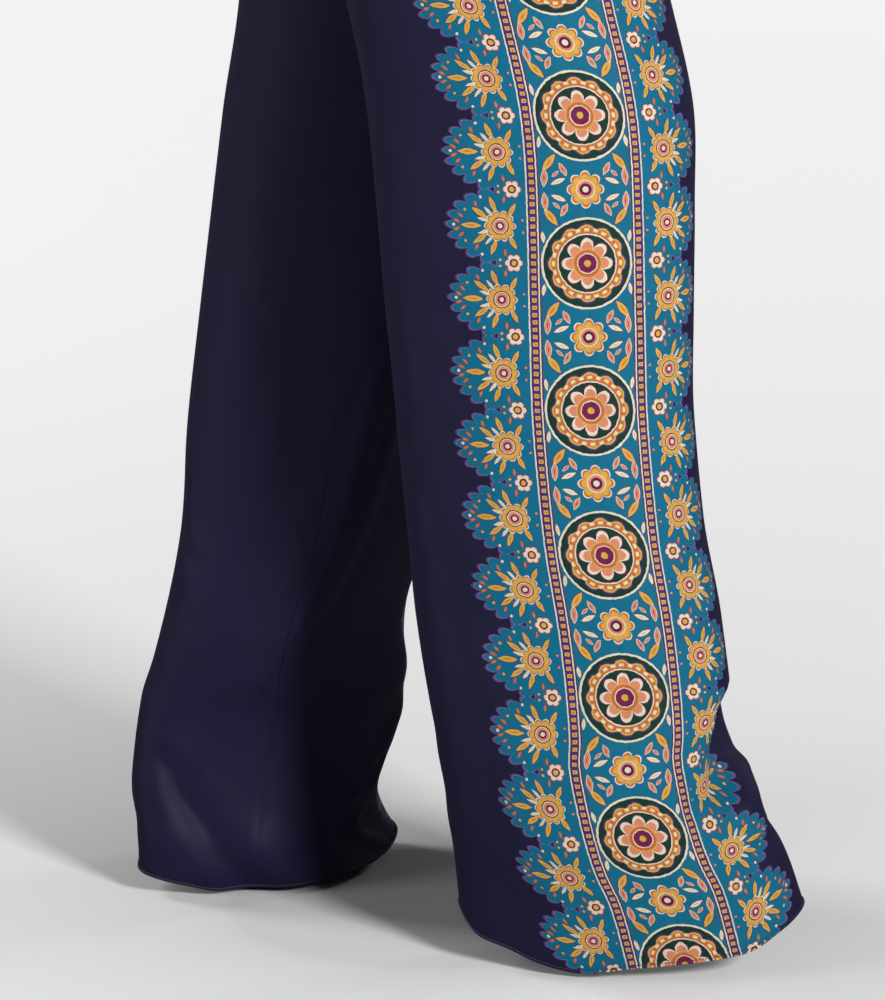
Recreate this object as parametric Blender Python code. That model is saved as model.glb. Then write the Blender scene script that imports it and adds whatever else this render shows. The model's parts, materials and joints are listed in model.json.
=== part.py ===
"""Straight-leg trousers, worn in mid-stride: hollow cloth on a general figure.

Metres, +Z up, front towards -Y, the wearer's left towards +X. The origin is the
middle of the waist, where the wearer's waist holds the garment. Heights are
measured up from the floor that the hems hang just above.

Each half of the garment is one run of cloth. Above the crotch it goes from the
centre-front seam round the hip to the centre-back seam. Below the crotch it
closes into a leg tube at the inseam. Two panels, front and back, share that run
and meet at the side seam.
"""

import math
from collections import namedtuple

import bpy
import numpy as np

# --- Sizes -----------------------------------------------------------------

WAIST_HEIGHT = 1.100
BAND_HEIGHT = 0.040
CROTCH_HEIGHT = 0.850
RISE_CURVE_HEIGHT = 0.110
RISE_CURVE_POWER = 2.2
LEG_BLEND_START = 0.35
EDGE_BLEND_REACH = 0.45
CLEAR_HEIGHT = 0.700
CLOTH = 0.0012
BAND_THICKNESS = 0.0028
HEM_THICKNESS = 0.0022
HEM_DEPTH = 0.004
SEAM_GAP = 0.0003
TAB_LENGTH = 0.030
TAB_RAMP = 0.016
FLY_THICKNESS = 0.0010
BUTTON_STANDOFF = 0.0005
BUTTON_RADIUS = 0.0085
BUTTON_THICKNESS = 0.0030
BUTTON_EDGE = 0.0008

# --- Mesh fineness ---------------------------------------------------------

RING_POINTS = 240
PANEL_COLUMNS = 18
SEAT_ROWS = 13
SEAT_END = 0.851
THIGH_ROWS = 22
THIGH_START = 0.842
CALF_ROWS = 13
CALF_HEIGHT = 0.260
HEM_STEP = 0.0006
FINE_STEPS = 720
BAND_COLUMNS = 22
TAB_COLUMNS = 6
BAND_ROWS = 2
FLY_COLUMNS = 3
FLY_ROWS = 6
BUTTON_SIDES = 24

# --- Sections --------------------------------------------------------------
# The seat is an oval at each height: half its width, and its reach to the front
# and to the back of the origin.

Seat = namedtuple("Seat", "height half_width front back")
SEAT = (
    Seat(1.125, 0.124, 0.090, 0.094),
    Seat(1.100, 0.126, 0.092, 0.096),
    Seat(1.070, 0.134, 0.097, 0.104),
    Seat(1.000, 0.160, 0.108, 0.121),
    Seat(0.920, 0.177, 0.113, 0.133),
    Seat(0.850, 0.180, 0.112, 0.130),
    Seat(0.780, 0.176, 0.108, 0.122),
)

# A leg is a rounded tube at each height: its middle, half its depth from front to
# back, its girth, how square its section is (2 is an ellipse), how far its front is
# drawn to the outer side, and how far its back is drawn to the inner side.

Ring = namedtuple("Ring", "height across ahead half_depth girth square front_out back_in")
RIGHT_LEG = (
    Ring(0.900, 0.090, -0.006, 0.124, 0.684, 2.3, 0.000, 0.000),
    Ring(0.850, 0.092, 0.000, 0.122, 0.676, 2.3, 0.000, 0.000),
    Ring(0.760, 0.094, 0.024, 0.114, 0.648, 2.3, 0.000, 0.000),
    Ring(0.660, 0.096, 0.050, 0.108, 0.622, 2.3, 0.000, 0.000),
    Ring(0.590, 0.098, 0.065, 0.109, 0.612, 2.3, 0.000, 0.000),
    Ring(0.520, 0.100, 0.069, 0.106, 0.600, 2.4, 0.000, 0.000),
    Ring(0.450, 0.102, 0.072, 0.103, 0.590, 2.4, 0.000, 0.000),
    Ring(0.380, 0.104, 0.076, 0.100, 0.584, 2.4, 0.000, 0.000),
    Ring(0.310, 0.107, 0.083, 0.100, 0.578, 2.4, 0.000, 0.000),
    Ring(0.240, 0.110, 0.093, 0.103, 0.574, 2.4, 0.000, 0.000),
    Ring(0.170, 0.113, 0.102, 0.102, 0.570, 2.3, 0.000, 0.000),
    Ring(0.150, 0.114, 0.104, 0.101, 0.569, 2.2, 0.000, 0.000),
    Ring(0.130, 0.115, 0.107, 0.102, 0.569, 2.2, 0.000, 0.000),
    Ring(0.095, 0.116, 0.114, 0.104, 0.568, 2.2, 0.000, 0.000),
    Ring(0.070, 0.117, 0.120, 0.108, 0.567, 2.2, 0.000, 0.000),
    Ring(0.050, 0.118, 0.127, 0.112, 0.566, 2.2, 0.000, 0.000),
    Ring(0.000, 0.118, 0.138, 0.118, 0.566, 2.2, 0.000, 0.000),
)
LEFT_LEG = (
    Ring(0.900, 0.090, -0.010, 0.126, 0.686, 2.3, 0.000, 0.000),
    Ring(0.850, 0.092, -0.014, 0.123, 0.678, 2.3, 0.000, 0.000),
    Ring(0.760, 0.094, -0.028, 0.112, 0.646, 2.3, 0.000, 0.000),
    Ring(0.630, 0.095, -0.044, 0.106, 0.618, 2.3, 0.004, 0.002),
    Ring(0.560, 0.096, -0.056, 0.103, 0.606, 2.3, 0.012, 0.005),
    Ring(0.485, 0.097, -0.067, 0.101, 0.596, 2.3, 0.022, 0.010),
    Ring(0.410, 0.098, -0.078, 0.099, 0.588, 2.3, 0.032, 0.015),
    Ring(0.340, 0.098, -0.088, 0.097, 0.580, 2.3, 0.040, 0.020),
    Ring(0.265, 0.098, -0.099, 0.092, 0.575, 2.3, 0.042, 0.026),
    Ring(0.190, 0.098, -0.120, 0.085, 0.571, 2.2, 0.044, 0.034),
    Ring(0.160, 0.098, -0.125, 0.087, 0.570, 2.2, 0.044, 0.038),
    Ring(0.130, 0.097, -0.128, 0.092, 0.569, 2.2, 0.044, 0.042),
    Ring(0.095, 0.096, -0.134, 0.090, 0.568, 2.2, 0.045, 0.048),
    Ring(0.060, 0.096, -0.139, 0.087, 0.567, 2.2, 0.045, 0.052),
    Ring(0.032, 0.096, -0.140, 0.082, 0.566, 2.2, 0.043, 0.055),
    Ring(0.012, 0.096, -0.136, 0.085, 0.566, 2.2, 0.041, 0.057),
    Ring(0.000, 0.096, -0.132, 0.089, 0.566, 2.2, 0.040, 0.058),
)

# Round a leg, an angle of 0 is the inner side, 90 the front, 180 the outer side
# and 270 the back. Seams stand at these angles.

INSEAM_ANGLE = 4.0
SIDE_SEAM_ANGLE = 163.0
HIP_SEAM_ANGLE = 171.0

# The hem's height above the floor, at angles round the leg.

HemPoint = namedtuple("HemPoint", "angle height")
RIGHT_HEM = (
    HemPoint(0, 0.022),
    HemPoint(60, 0.036),
    HemPoint(90, 0.042),
    HemPoint(120, 0.031),
    HemPoint(137, 0.019),
    HemPoint(155, 0.014),
    HemPoint(178, 0.009),
    HemPoint(193, 0.004),
    HemPoint(208, 0.008),
    HemPoint(223, 0.016),
    HemPoint(240, 0.022),
    HemPoint(265, 0.038),
    HemPoint(310, 0.034),
)
LEFT_HEM = (
    HemPoint(0, 0.004),
    HemPoint(30, 0.007),
    HemPoint(60, 0.009),
    HemPoint(90, 0.014),
    HemPoint(135, 0.016),
    HemPoint(180, 0.008),
    HemPoint(230, 0.009),
    HemPoint(270, 0.017),
    HemPoint(300, 0.015),
    HemPoint(325, 0.009),
    HemPoint(345, 0.004),
)
HEM_EASE_HEIGHT = 0.240

# The folds. Each runs down from one height and angle to another, bows sideways
# by so many degrees halfway, fades away at its ends unless it runs into the hem,
# and is lifted out (or, below zero, sunk in). Its half-widths are towards greater
# angles and towards lesser ones.

Fold = namedtuple("Fold", "top top_angle bottom bottom_angle bow greater lesser lift")
RIGHT_FOLDS = (
    Fold(0.195, 84, 0.095, 116, 0, 0.034, 0.026, -0.0170),
    Fold(0.130, 84, 0.060, 112, 4, 0.026, 0.026, 0.0080),
    Fold(0.620, 120, 0.060, 116, 4, 0.022, 0.050, 0.0040),
    Fold(0.560, 216, 0.000, 222, -6, 0.030, 0.045, -0.0040),
    Fold(0.700, 292, 0.140, 306, 6, 0.030, 0.030, 0.0070),
    Fold(0.640, 318, 0.080, 330, 6, 0.030, 0.030, -0.0080),
    Fold(0.470, 60, 0.060, 46, -8, 0.028, 0.034, -0.0060),
)
LEFT_FOLDS = (
    Fold(0.560, 40, 0.080, -8, 6, 0.014, 0.048, 0.0115),
    Fold(0.600, 66, 0.050, 44, 4, 0.045, 0.045, -0.0080),
    Fold(0.120, 92, 0.020, 50, 0, 0.016, 0.018, 0.0050),
    Fold(0.110, -52, 0.000, -2, 0, 0.022, 0.018, -0.0080),
    Fold(0.640, 262, 0.240, 262, 0, 0.030, 0.018, 0.0030),
    Fold(0.600, 132, 0.000, 140, 6, 0.034, 0.030, -0.0060),
    Fold(0.560, 200, 0.040, 212, -8, 0.034, 0.030, 0.0060),
    Fold(0.500, 236, 0.120, 246, 4, 0.026, 0.026, -0.0050),
)
FOLD_RADIUS = 0.092
FOLD_FADE = 0.22

# --- Colours ---------------------------------------------------------------

NAVY = (0.018, 0.016, 0.038, 1.0)
NAVY_DEEP = (0.012, 0.011, 0.026, 1.0)
BUTTON_NAVY = (0.010, 0.010, 0.020, 1.0)
SILK_ROUGHNESS = 0.52
BUTTON_ROUGHNESS = 0.28


# --- Curves ----------------------------------------------------------------


def smooth_step(value):
    """0 below 0, 1 above 1, and an eased rise between."""
    t = np.clip(value, 0.0, 1.0)
    return t * t * (3.0 - 2.0 * t)


def hermite(at, known, values):
    """A smooth curve through values at increasing places, without overshoot."""
    known, values = np.asarray(known, float), np.asarray(values, float)
    steps = np.diff(known)
    slopes = np.diff(values) / steps
    tangents = np.concatenate([[slopes[0]], (slopes[1:] + slopes[:-1]) / 2, [slopes[-1]]])
    turning = np.concatenate([[False], slopes[1:] * slopes[:-1] <= 0, [False]])
    tangents[turning] = 0.0
    i = np.clip(np.searchsorted(known, at) - 1, 0, len(steps) - 1)
    t = (at - known[i]) / steps[i]
    return (
        (1 + 2 * t) * (1 - t) ** 2 * values[i]
        + t * (1 - t) ** 2 * steps[i] * tangents[i]
        + t * t * (3 - 2 * t) * values[i + 1]
        + t * t * (t - 1) * steps[i] * tangents[i + 1]
    )


def column(table, name, height):
    """A table's column, read smoothly at a height."""
    rows = sorted(table, key=lambda row: row.height)
    return float(hermite(height, [r.height for r in rows], [getattr(r, name) for r in rows]))


def round_value(points, angles):
    """The hem's height at angles, smooth all the way round."""
    known = np.array([p.angle for p in points], float)
    values = np.array([p.height for p in points], float)
    known = np.concatenate([known - 360, known, known + 360])
    return hermite(np.mod(angles, 360.0), known, np.tile(values, 3))


def superellipse(angles, half_width, half_depth, square):
    """Points (towards the inner side, towards the front) of a rounded oval."""
    c, s = np.cos(angles), np.sin(angles)
    power = 2.0 / square
    x = half_width * np.sign(c) * np.abs(c) ** power
    return x, half_depth * np.sign(s) * np.abs(s) ** power


def leg_section(angles, half_width, ring):
    """A rounded oval whose front is drawn outwards and whose back is drawn inwards."""
    inner, ahead = superellipse(angles, half_width, ring.half_depth, ring.square)
    drawn = np.where(ahead > 0, -ring.front_out, ring.back_in)
    return inner + drawn * (ahead / ring.half_depth) ** 2, ahead


def even_angles(half_width, ring):
    """Angles, from the inseam round to it again, that space a section evenly."""
    start = math.radians(INSEAM_ANGLE)
    fine = start + np.linspace(0, 2 * math.pi, 2 * FINE_STEPS + 1)
    x, y = leg_section(fine, half_width, ring)
    along = np.concatenate([[0], np.cumsum(np.hypot(np.diff(x), np.diff(y)))])
    even = np.interp(np.linspace(0, along[-1], RING_POINTS + 1), along, fine)
    return even, along[-1]


def half_width_for(ring):
    """The half width that gives a section its girth."""
    low, high = 0.02, 0.16
    for _ in range(24):
        middle = (low + high) / 2
        if even_angles(middle, ring)[1] < ring.girth:
            low = middle
        else:
            high = middle
    return (low + high) / 2


# --- One half of the garment -----------------------------------------------


def fold_lift(folds, angles, height):
    """How far the cloth stands out at angles (degrees) and one height."""
    total = np.zeros(len(angles))
    for fold in folds:
        run = (fold.top - height) / (fold.top - fold.bottom)
        middle = fold.top_angle + (fold.bottom_angle - fold.top_angle) * run
        middle += fold.bow * math.sin(math.pi * min(max(run, 0), 1))
        across = (angles - middle + 180.0) % 360.0 - 180.0
        reach = np.where(across > 0, fold.greater, fold.lesser)
        away = np.radians(across) * FOLD_RADIUS / reach
        upper = smooth_step(run / FOLD_FADE)
        lower = 1.0 if fold.bottom <= 0 else smooth_step((1 - run) / FOLD_FADE)
        total += fold.lift * upper * lower * np.exp(-away * away)
    return total


def leg_ring(side, legs, folds, height):
    """A closed section of a leg, from the inseam by the front, and its angles."""
    ring = Ring(height, *(column(legs, name, height) for name in Ring._fields[1:]))
    width = half_width_for(ring)
    angles, _ = even_angles(width, ring)
    inner, ahead = leg_section(angles, width, ring)
    step_in, step_ahead = np.gradient(inner), np.gradient(ahead)
    length = np.hypot(step_in, step_ahead)
    lift = fold_lift(folds, np.degrees(angles), height)
    inner = inner + step_ahead / length * lift
    ahead = ahead - step_in / length * lift
    return side * (ring.across - inner), -(ring.ahead + ahead), np.degrees(angles)


def seam_share(angles):
    """How far round the ring, from 0 to 1, the side seam stands."""
    return float(np.interp(SIDE_SEAM_ANGLE, angles, np.linspace(0, 1, len(angles))))


def seat_arc(side, share, height):
    """A half section of the seat, from centre front to centre back, spaced as the ring."""
    fine = np.radians(np.linspace(90, 270, FINE_STEPS + 1))
    reach = np.where(
        fine < math.pi, column(SEAT, "front", height), column(SEAT, "back", height)
    )
    x = -side * column(SEAT, "half_width", height) * np.cos(fine)
    y = -reach * np.sin(fine)
    along = np.concatenate([[0], np.cumsum(np.hypot(np.diff(x), np.diff(y)))])
    seam = float(np.interp(math.radians(HIP_SEAM_ANGLE), fine, along))
    spots = np.linspace(0, 1, RING_POINTS + 1)
    wanted = np.interp(spots, [0, share, 1], [0, seam, along[-1]])
    return np.interp(wanted, along, x), np.interp(wanted, along, y)


def leg_blend(height, spots, share):
    """How much of each point is leg and not seat: 0 at the hip, 1 at the crotch."""
    top = WAIST_HEIGHT - BAND_HEIGHT / 2
    drop = (top - height) / (top - CROTCH_HEIGHT)
    low = np.clip((CROTCH_HEIGHT + RISE_CURVE_HEIGHT - height) / RISE_CURVE_HEIGHT, 0, 1)
    curve = 1 - math.sqrt(max(0.0, 1 - low**RISE_CURVE_POWER))
    eased = smooth_step((drop - LEG_BLEND_START) / (1 - LEG_BLEND_START))
    edge = np.minimum(spots / share, (1 - spots) / (1 - share))
    near_edge = (1 - np.clip(edge / EDGE_BLEND_REACH, 0, 1)) ** 2
    return near_edge * curve + (1 - near_edge) * eased


def half_garment(side, legs, folds, hem, heights):
    """Outer points of one half, a row for each height, and their outward normals."""
    rows = []
    for height in heights:
        ring_x, ring_y, angles = leg_ring(side, legs, folds, height)
        share = seam_share(angles)
        spots = np.linspace(0, 1, RING_POINTS + 1)
        x, y = ring_x, ring_y
        if height > CROTCH_HEIGHT:
            seat_x, seat_y = seat_arc(side, share, height)
            blend = leg_blend(height, spots, share)
            x = (1 - blend) * seat_x + blend * ring_x
            y = (1 - blend) * seat_y + blend * ring_y
            x[[0, -1]] = 0.0
        if height > CLEAR_HEIGHT:
            x = side * np.maximum(side * x, SEAM_GAP / 2)
        lift = round_value(hem, angles) * (1 - smooth_step(height / HEM_EASE_HEIGHT))
        z = height + lift - WAIST_HEIGHT
        rows.append(np.stack([x, y, z], axis=1))
    points = np.array(rows)
    return points, outward_normals(points, np.asarray(heights), side)


def outward_normals(points, heights, side):
    """Unit normals of a half garment's rows, continuous across the inseam."""
    along = np.gradient(points, axis=1)
    legs = heights <= CROTCH_HEIGHT
    across = (points[legs, 1] - points[legs, -2]) / 2
    along[legs, 0] = along[legs, -1] = across
    upward = np.gradient(points, heights, axis=0)
    normals = side * np.cross(along, upward)
    normals[~legs, 0, 0] = normals[~legs, -1, 0] = 0.0
    return normals / np.linalg.norm(normals, axis=2, keepdims=True)


def row_heights():
    """Heights of the rows: close together at the rise curve and at the hem."""
    top = WAIST_HEIGHT - BAND_HEIGHT / 2 - SEAM_GAP
    bend = np.sin(np.linspace(0, math.pi / 2, SEAT_ROWS))
    seat = top + (SEAT_END - top) * bend
    thigh = np.linspace(THIGH_START, CALF_HEIGHT, THIGH_ROWS)
    calf = np.linspace(CALF_HEIGHT, HEM_DEPTH + HEM_STEP, CALF_ROWS + 1)[1:]
    return np.concatenate([seat, thigh, calf, [HEM_DEPTH, 0.0]])


# --- Solids ----------------------------------------------------------------


def material(name, colour, roughness):
    """A plain finish."""
    made = bpy.data.materials.new(name)
    made.use_nodes = True
    shader = made.node_tree.nodes["Principled BSDF"]
    shader.inputs["Base Color"].default_value = colour
    shader.inputs["Roughness"].default_value = roughness
    shader.inputs["Metallic"].default_value = 0.0
    made.diffuse_color = colour
    return made


def solid_object(name, points, faces, finish, sharp=45):
    """A closed solid of these faces, turned to face outwards."""
    mesh = bpy.data.meshes.new(name)
    mesh.from_pydata([tuple(p) for p in points], [], faces)
    mesh.update()
    volume = sum(
        mesh.vertices[t.vertices[0]].co.dot(
            mesh.vertices[t.vertices[1]].co.cross(mesh.vertices[t.vertices[2]].co)
        )
        for t in loop_triangles(mesh)
    )
    if volume < 0:
        mesh.flip_normals()
    mesh.shade_smooth()
    mesh.set_sharp_from_angle(angle=math.radians(sharp))
    mesh.materials.append(finish)
    made = bpy.data.objects.new(name, mesh)
    bpy.context.scene.collection.objects.link(made)


def wall_object(name, outer, inner, finish, skin=None):
    """A closed wall between two grids of points.

    skin is the outer faces, if they aren't the whole grid.
    """
    rows, columns = outer.shape[:2]
    if skin is None:
        corners = [r * columns + c for r in range(rows - 1) for c in range(columns - 1)]
        skin = [(i, i + columns, i + columns + 1, i + 1) for i in corners]
    count = rows * columns
    edges = {edge for face in skin for edge in zip(face, face[1:] + face[:1])}
    rim = sorted(edge for edge in edges if edge[::-1] not in edges)
    faces = list(skin)
    faces += [tuple(i + count for i in reversed(face)) for face in skin]
    faces += [(b, a, a + count, b + count) for a, b in rim]
    used = sorted({i for face in faces for i in face})
    place = {old: new for new, old in enumerate(used)}
    points = np.concatenate([outer.reshape(-1, 3), inner.reshape(-1, 3)])[used]
    solid_object(name, points, [tuple(place[i] for i in face) for face in faces], finish)


def loop_triangles(mesh):
    """The mesh's triangles."""
    mesh.calc_loop_triangles()
    return mesh.loop_triangles


def between(points, normals, start, end, columns):
    """Points and normals at even distances along each row, from start to end.

    start and end are shares of the whole run. Each end stands half a seam gap in.
    """
    made = np.empty((len(points), columns + 1, 3))
    turned = np.empty_like(made)
    shares = np.linspace(0, 1, points.shape[1])
    for r, (row, normal) in enumerate(zip(points, normals)):
        along = np.concatenate([[0], np.cumsum(np.linalg.norm(np.diff(row, axis=0), axis=1))])
        first, last = np.interp([start[r], end[r]], shares, along)
        inset = SEAM_GAP / 2 if first < last else -SEAM_GAP / 2
        wanted = np.linspace(first + inset, last - inset, columns + 1)
        for k in range(3):
            made[r, :, k] = np.interp(wanted, along, row[:, k])
            turned[r, :, k] = np.interp(wanted, along, normal[:, k])
    return made, turned / np.linalg.norm(turned, axis=2, keepdims=True)


def kept_side(points, heights, side):
    """The points, none of the upper rows past the middle plane."""
    upper = heights > CLEAR_HEIGHT
    points[upper, :, 0] = side * np.maximum(side * points[upper, :, 0], SEAM_GAP / 2)
    return points


def leg_panels(side, name, legs, folds, hem, finish):
    """The front and back panels of one half."""
    heights = row_heights()
    points, normals = half_garment(side, legs, folds, hem, heights)
    shares = np.array([seam_share(leg_ring(side, legs, folds, h)[2]) for h in heights])
    thickness = np.where(heights <= HEM_DEPTH, HEM_THICKNESS, CLOTH)[:, None, None]
    panels = {
        "front": (np.zeros(len(heights)), shares),
        "back": (shares, np.ones(len(heights))),
    }
    made = {}
    for panel, (start, end) in panels.items():
        outer, out = between(points, normals, start, end, PANEL_COLUMNS)
        inner = kept_side(outer - out * thickness, heights, side)
        wall_object(f"{panel}_{name}", outer, inner, finish)
        made[panel] = (outer, out)
    return made


def band_rows():
    """Heights of the waistband's rows, above the floor."""
    half = BAND_HEIGHT / 2
    return WAIST_HEIGHT + np.linspace(half, -half + SEAM_GAP / 2, BAND_ROWS + 1)


def band_run(start, end, columns):
    """Waistband points from one share of the whole oval to another.

    A share of 0 is centre back, 0.25 the wearer's right, 0.5 centre front.
    """
    rows = []
    for height in band_rows():
        angles = np.linspace(start, end, columns + 1) * 2 * math.pi
        reach = np.where(
            np.cos(angles) > 0, column(SEAT, "back", height), column(SEAT, "front", height)
        )
        x = -column(SEAT, "half_width", height) * np.sin(angles)
        z = np.full_like(x, height - WAIST_HEIGHT)
        rows.append(np.stack([x, reach * np.cos(angles), z], axis=1))
    rows = np.array(rows)
    upward = np.gradient(rows, band_rows(), axis=0)
    normals = np.cross(np.gradient(rows, axis=1), upward)
    return rows, normals / np.linalg.norm(normals, axis=2, keepdims=True)


def waistband(finish):
    """The two waistband halves. The right end laps over the left as a tab.

    Returns where the button goes, and which way the tab faces there.
    """
    around = 2 * math.pi * column(SEAT, "half_width", WAIST_HEIGHT)
    gap, tab, ramp = SEAM_GAP / 2 / around, TAB_LENGTH / around, TAB_RAMP / around
    left, left_out = band_run(0.5 + gap, 1.0 - gap, BAND_COLUMNS)
    wall_object("waistband_left", left, left - left_out * BAND_THICKNESS, finish)
    columns = BAND_COLUMNS + TAB_COLUMNS
    right, right_out = band_run(gap, 0.5 + tab, columns)
    shares = np.linspace(gap, 0.5 + tab, columns + 1)
    raised = (BAND_THICKNESS + SEAM_GAP) * smooth_step((shares - 0.5 + ramp + gap) / ramp)
    outer = right + right_out * raised[None, :, None]
    wall_object("waistband_right", outer, outer - right_out * BAND_THICKNESS, finish)
    spot, spot_out = band_run(0.5 + tab / 2, 0.5 + tab / 2 + gap, 1)
    place, out = spot[BAND_ROWS // 2, 0], spot_out[BAND_ROWS // 2, 0]
    return place + out * (BAND_THICKNESS + SEAM_GAP), out


def fly_flap(outer, out, finish):
    """The flap over the closure: the right front's own cells beside the centre seam, moved out.

    Its lower end curves in to the seam, a column at a time.
    """
    columns = outer.shape[1]
    skin = []
    for c in range(FLY_COLUMNS):
        last = FLY_ROWS - c
        for r in range(last):
            a, d = r * columns + c, (r + 1) * columns + c
            skin.append((a, d, d + 1, a + 1) if r < last - 1 or c == 0 else (a, d, a + 1))
    inner = outer + out * SEAM_GAP
    wall_object("fly_flap", inner + out * FLY_THICKNESS, inner, finish, skin)


def button(place, out, finish):
    """A round button, eased at its edge, on the waistband's tab."""
    side = np.cross([0.0, 0.0, 1.0], out)
    up = np.cross(out, side)
    back = SEAM_GAP + BUTTON_STANDOFF
    face = back + BUTTON_THICKNESS
    profile = (
        (back, BUTTON_RADIUS - BUTTON_EDGE),
        (back + BUTTON_EDGE, BUTTON_RADIUS),
        (face - BUTTON_EDGE, BUTTON_RADIUS),
        (face, BUTTON_RADIUS - BUTTON_EDGE),
    )
    turns = np.linspace(0, 2 * math.pi, BUTTON_SIDES, endpoint=False)
    points = [
        place + out * rise + radius * (math.cos(t) * side + math.sin(t) * up)
        for rise, radius in profile
        for t in turns
    ]
    faces = [tuple(reversed(range(BUTTON_SIDES)))]
    for ring in range(len(profile) - 1):
        for k in range(BUTTON_SIDES):
            a, b = ring * BUTTON_SIDES + k, ring * BUTTON_SIDES + (k + 1) % BUTTON_SIDES
            faces.append((a, b, b + BUTTON_SIDES, a + BUTTON_SIDES))
    faces.append(tuple(range((len(profile) - 1) * BUTTON_SIDES, len(profile) * BUTTON_SIDES)))
    solid_object("button", points, faces, finish, 40)


def clear_scene():
    """Removes whatever the scene starts with."""
    for thing in list(bpy.data.objects):
        bpy.data.objects.remove(thing)


def main():
    clear_scene()
    silk = material("navy_silk", NAVY, SILK_ROUGHNESS)
    band = material("navy_band", NAVY_DEEP, SILK_ROUGHNESS)
    horn = material("button_navy", BUTTON_NAVY, BUTTON_ROUGHNESS)
    panels = leg_panels(-1, "right", RIGHT_LEG, RIGHT_FOLDS, RIGHT_HEM, silk)
    leg_panels(1, "left", LEFT_LEG, LEFT_FOLDS, LEFT_HEM, silk)
    place, out = waistband(band)
    fly_flap(*panels["front"], silk)
    button(place, out, horn)


if __name__ == "__main__":
    main()
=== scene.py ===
"""Straight-leg trousers, worn in mid-stride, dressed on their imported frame.

Metres, +Z up, front towards -Y, the wearer's left towards +X, the middle of the
waist at the origin. The cloth is the same surface as the solids', drawn finely:
thin walls with the smaller creases, rolled hems, seams, stitches and the print.
"""

import functools
import json
import math
from collections import namedtuple

import bpy
import numpy as np
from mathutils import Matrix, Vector

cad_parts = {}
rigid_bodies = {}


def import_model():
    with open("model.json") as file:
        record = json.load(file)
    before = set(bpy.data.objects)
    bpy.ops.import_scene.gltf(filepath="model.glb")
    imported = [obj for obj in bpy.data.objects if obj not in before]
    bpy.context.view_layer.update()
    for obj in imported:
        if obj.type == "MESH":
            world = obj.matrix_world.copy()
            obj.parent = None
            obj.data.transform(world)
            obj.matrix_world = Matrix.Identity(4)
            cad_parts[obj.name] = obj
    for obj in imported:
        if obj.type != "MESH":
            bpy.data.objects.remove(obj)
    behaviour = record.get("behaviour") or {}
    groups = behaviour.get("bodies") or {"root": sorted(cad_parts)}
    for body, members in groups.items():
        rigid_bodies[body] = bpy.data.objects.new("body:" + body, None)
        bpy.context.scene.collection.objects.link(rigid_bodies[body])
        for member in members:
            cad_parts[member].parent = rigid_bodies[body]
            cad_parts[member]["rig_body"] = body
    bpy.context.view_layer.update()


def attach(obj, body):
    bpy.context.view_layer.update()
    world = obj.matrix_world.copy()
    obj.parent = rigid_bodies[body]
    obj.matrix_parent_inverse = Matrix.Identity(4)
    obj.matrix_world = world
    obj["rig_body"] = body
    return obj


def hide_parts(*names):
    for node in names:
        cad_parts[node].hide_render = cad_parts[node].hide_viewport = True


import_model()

bl_info = {
    "name": "Straight-leg trousers",
    "version": (1, 0, 0),
    "blender": (4, 5, 0),
    "location": "3D View > Sidebar > Trousers",
    "description": "Builds printed silk trousers on their packed frame",
    "category": "Object",
}

# --- Sizes ---

WAIST_HEIGHT = 1.100
BAND_HEIGHT = 0.040
CROTCH_HEIGHT = 0.850
RISE_CURVE_HEIGHT = 0.110
RISE_CURVE_POWER = 2.2
LEG_BLEND_START = 0.35
EDGE_BLEND_REACH = 0.45
CLEAR_HEIGHT = 0.700
BAND_THICKNESS = 0.0028
SEAM_GAP = 0.0003
TAB_LENGTH = 0.030
TAB_RAMP = 0.016
FLY_THICKNESS = 0.0010
BUTTON_STANDOFF = 0.0005


def table_of(kind, *plain):
    """A table of named rows of one kind."""
    return tuple(kind(*row) for row in plain)


# --- Sections ---
# The seat is an oval at each height: half its width, and its reach to the front
# and to the back of the origin.

Seat = namedtuple("Seat", "height half_width front back")
SEAT = table_of(
    Seat,
    (1.125, 0.124, 0.090, 0.094),
    (1.100, 0.126, 0.092, 0.096),
    (1.070, 0.134, 0.097, 0.104),
    (1.000, 0.160, 0.108, 0.121),
    (0.920, 0.177, 0.113, 0.133),
    (0.850, 0.180, 0.112, 0.130),
    (0.780, 0.176, 0.108, 0.122),
)

# A leg is a rounded tube at each height: its middle, half its depth from front to
# back, its girth, how square its section is (2 is an ellipse), how far its front is
# drawn to the outer side, and how far its back is drawn to the inner side.

Ring = namedtuple(
    "Ring", "height across ahead half_depth girth square front_out back_in", defaults=(0.0, 0.0)
)
RIGHT_LEG = table_of(
    Ring,
    (0.900, 0.090, -0.006, 0.124, 0.684, 2.3),
    (0.850, 0.092, 0.000, 0.122, 0.676, 2.3),
    (0.760, 0.094, 0.024, 0.114, 0.648, 2.3),
    (0.660, 0.096, 0.050, 0.108, 0.622, 2.3),
    (0.590, 0.098, 0.065, 0.109, 0.612, 2.3),
    (0.520, 0.100, 0.069, 0.106, 0.600, 2.4),
    (0.450, 0.102, 0.072, 0.103, 0.590, 2.4),
    (0.380, 0.104, 0.076, 0.100, 0.584, 2.4),
    (0.310, 0.107, 0.083, 0.100, 0.578, 2.4),
    (0.240, 0.110, 0.093, 0.103, 0.574, 2.4),
    (0.170, 0.113, 0.102, 0.102, 0.570, 2.3),
    (0.150, 0.114, 0.104, 0.101, 0.569, 2.2),
    (0.130, 0.115, 0.107, 0.102, 0.569, 2.2),
    (0.095, 0.116, 0.114, 0.104, 0.568, 2.2),
    (0.070, 0.117, 0.120, 0.108, 0.567, 2.2),
    (0.050, 0.118, 0.127, 0.112, 0.566, 2.2),
    (0.000, 0.118, 0.138, 0.118, 0.566, 2.2),
)
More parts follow.
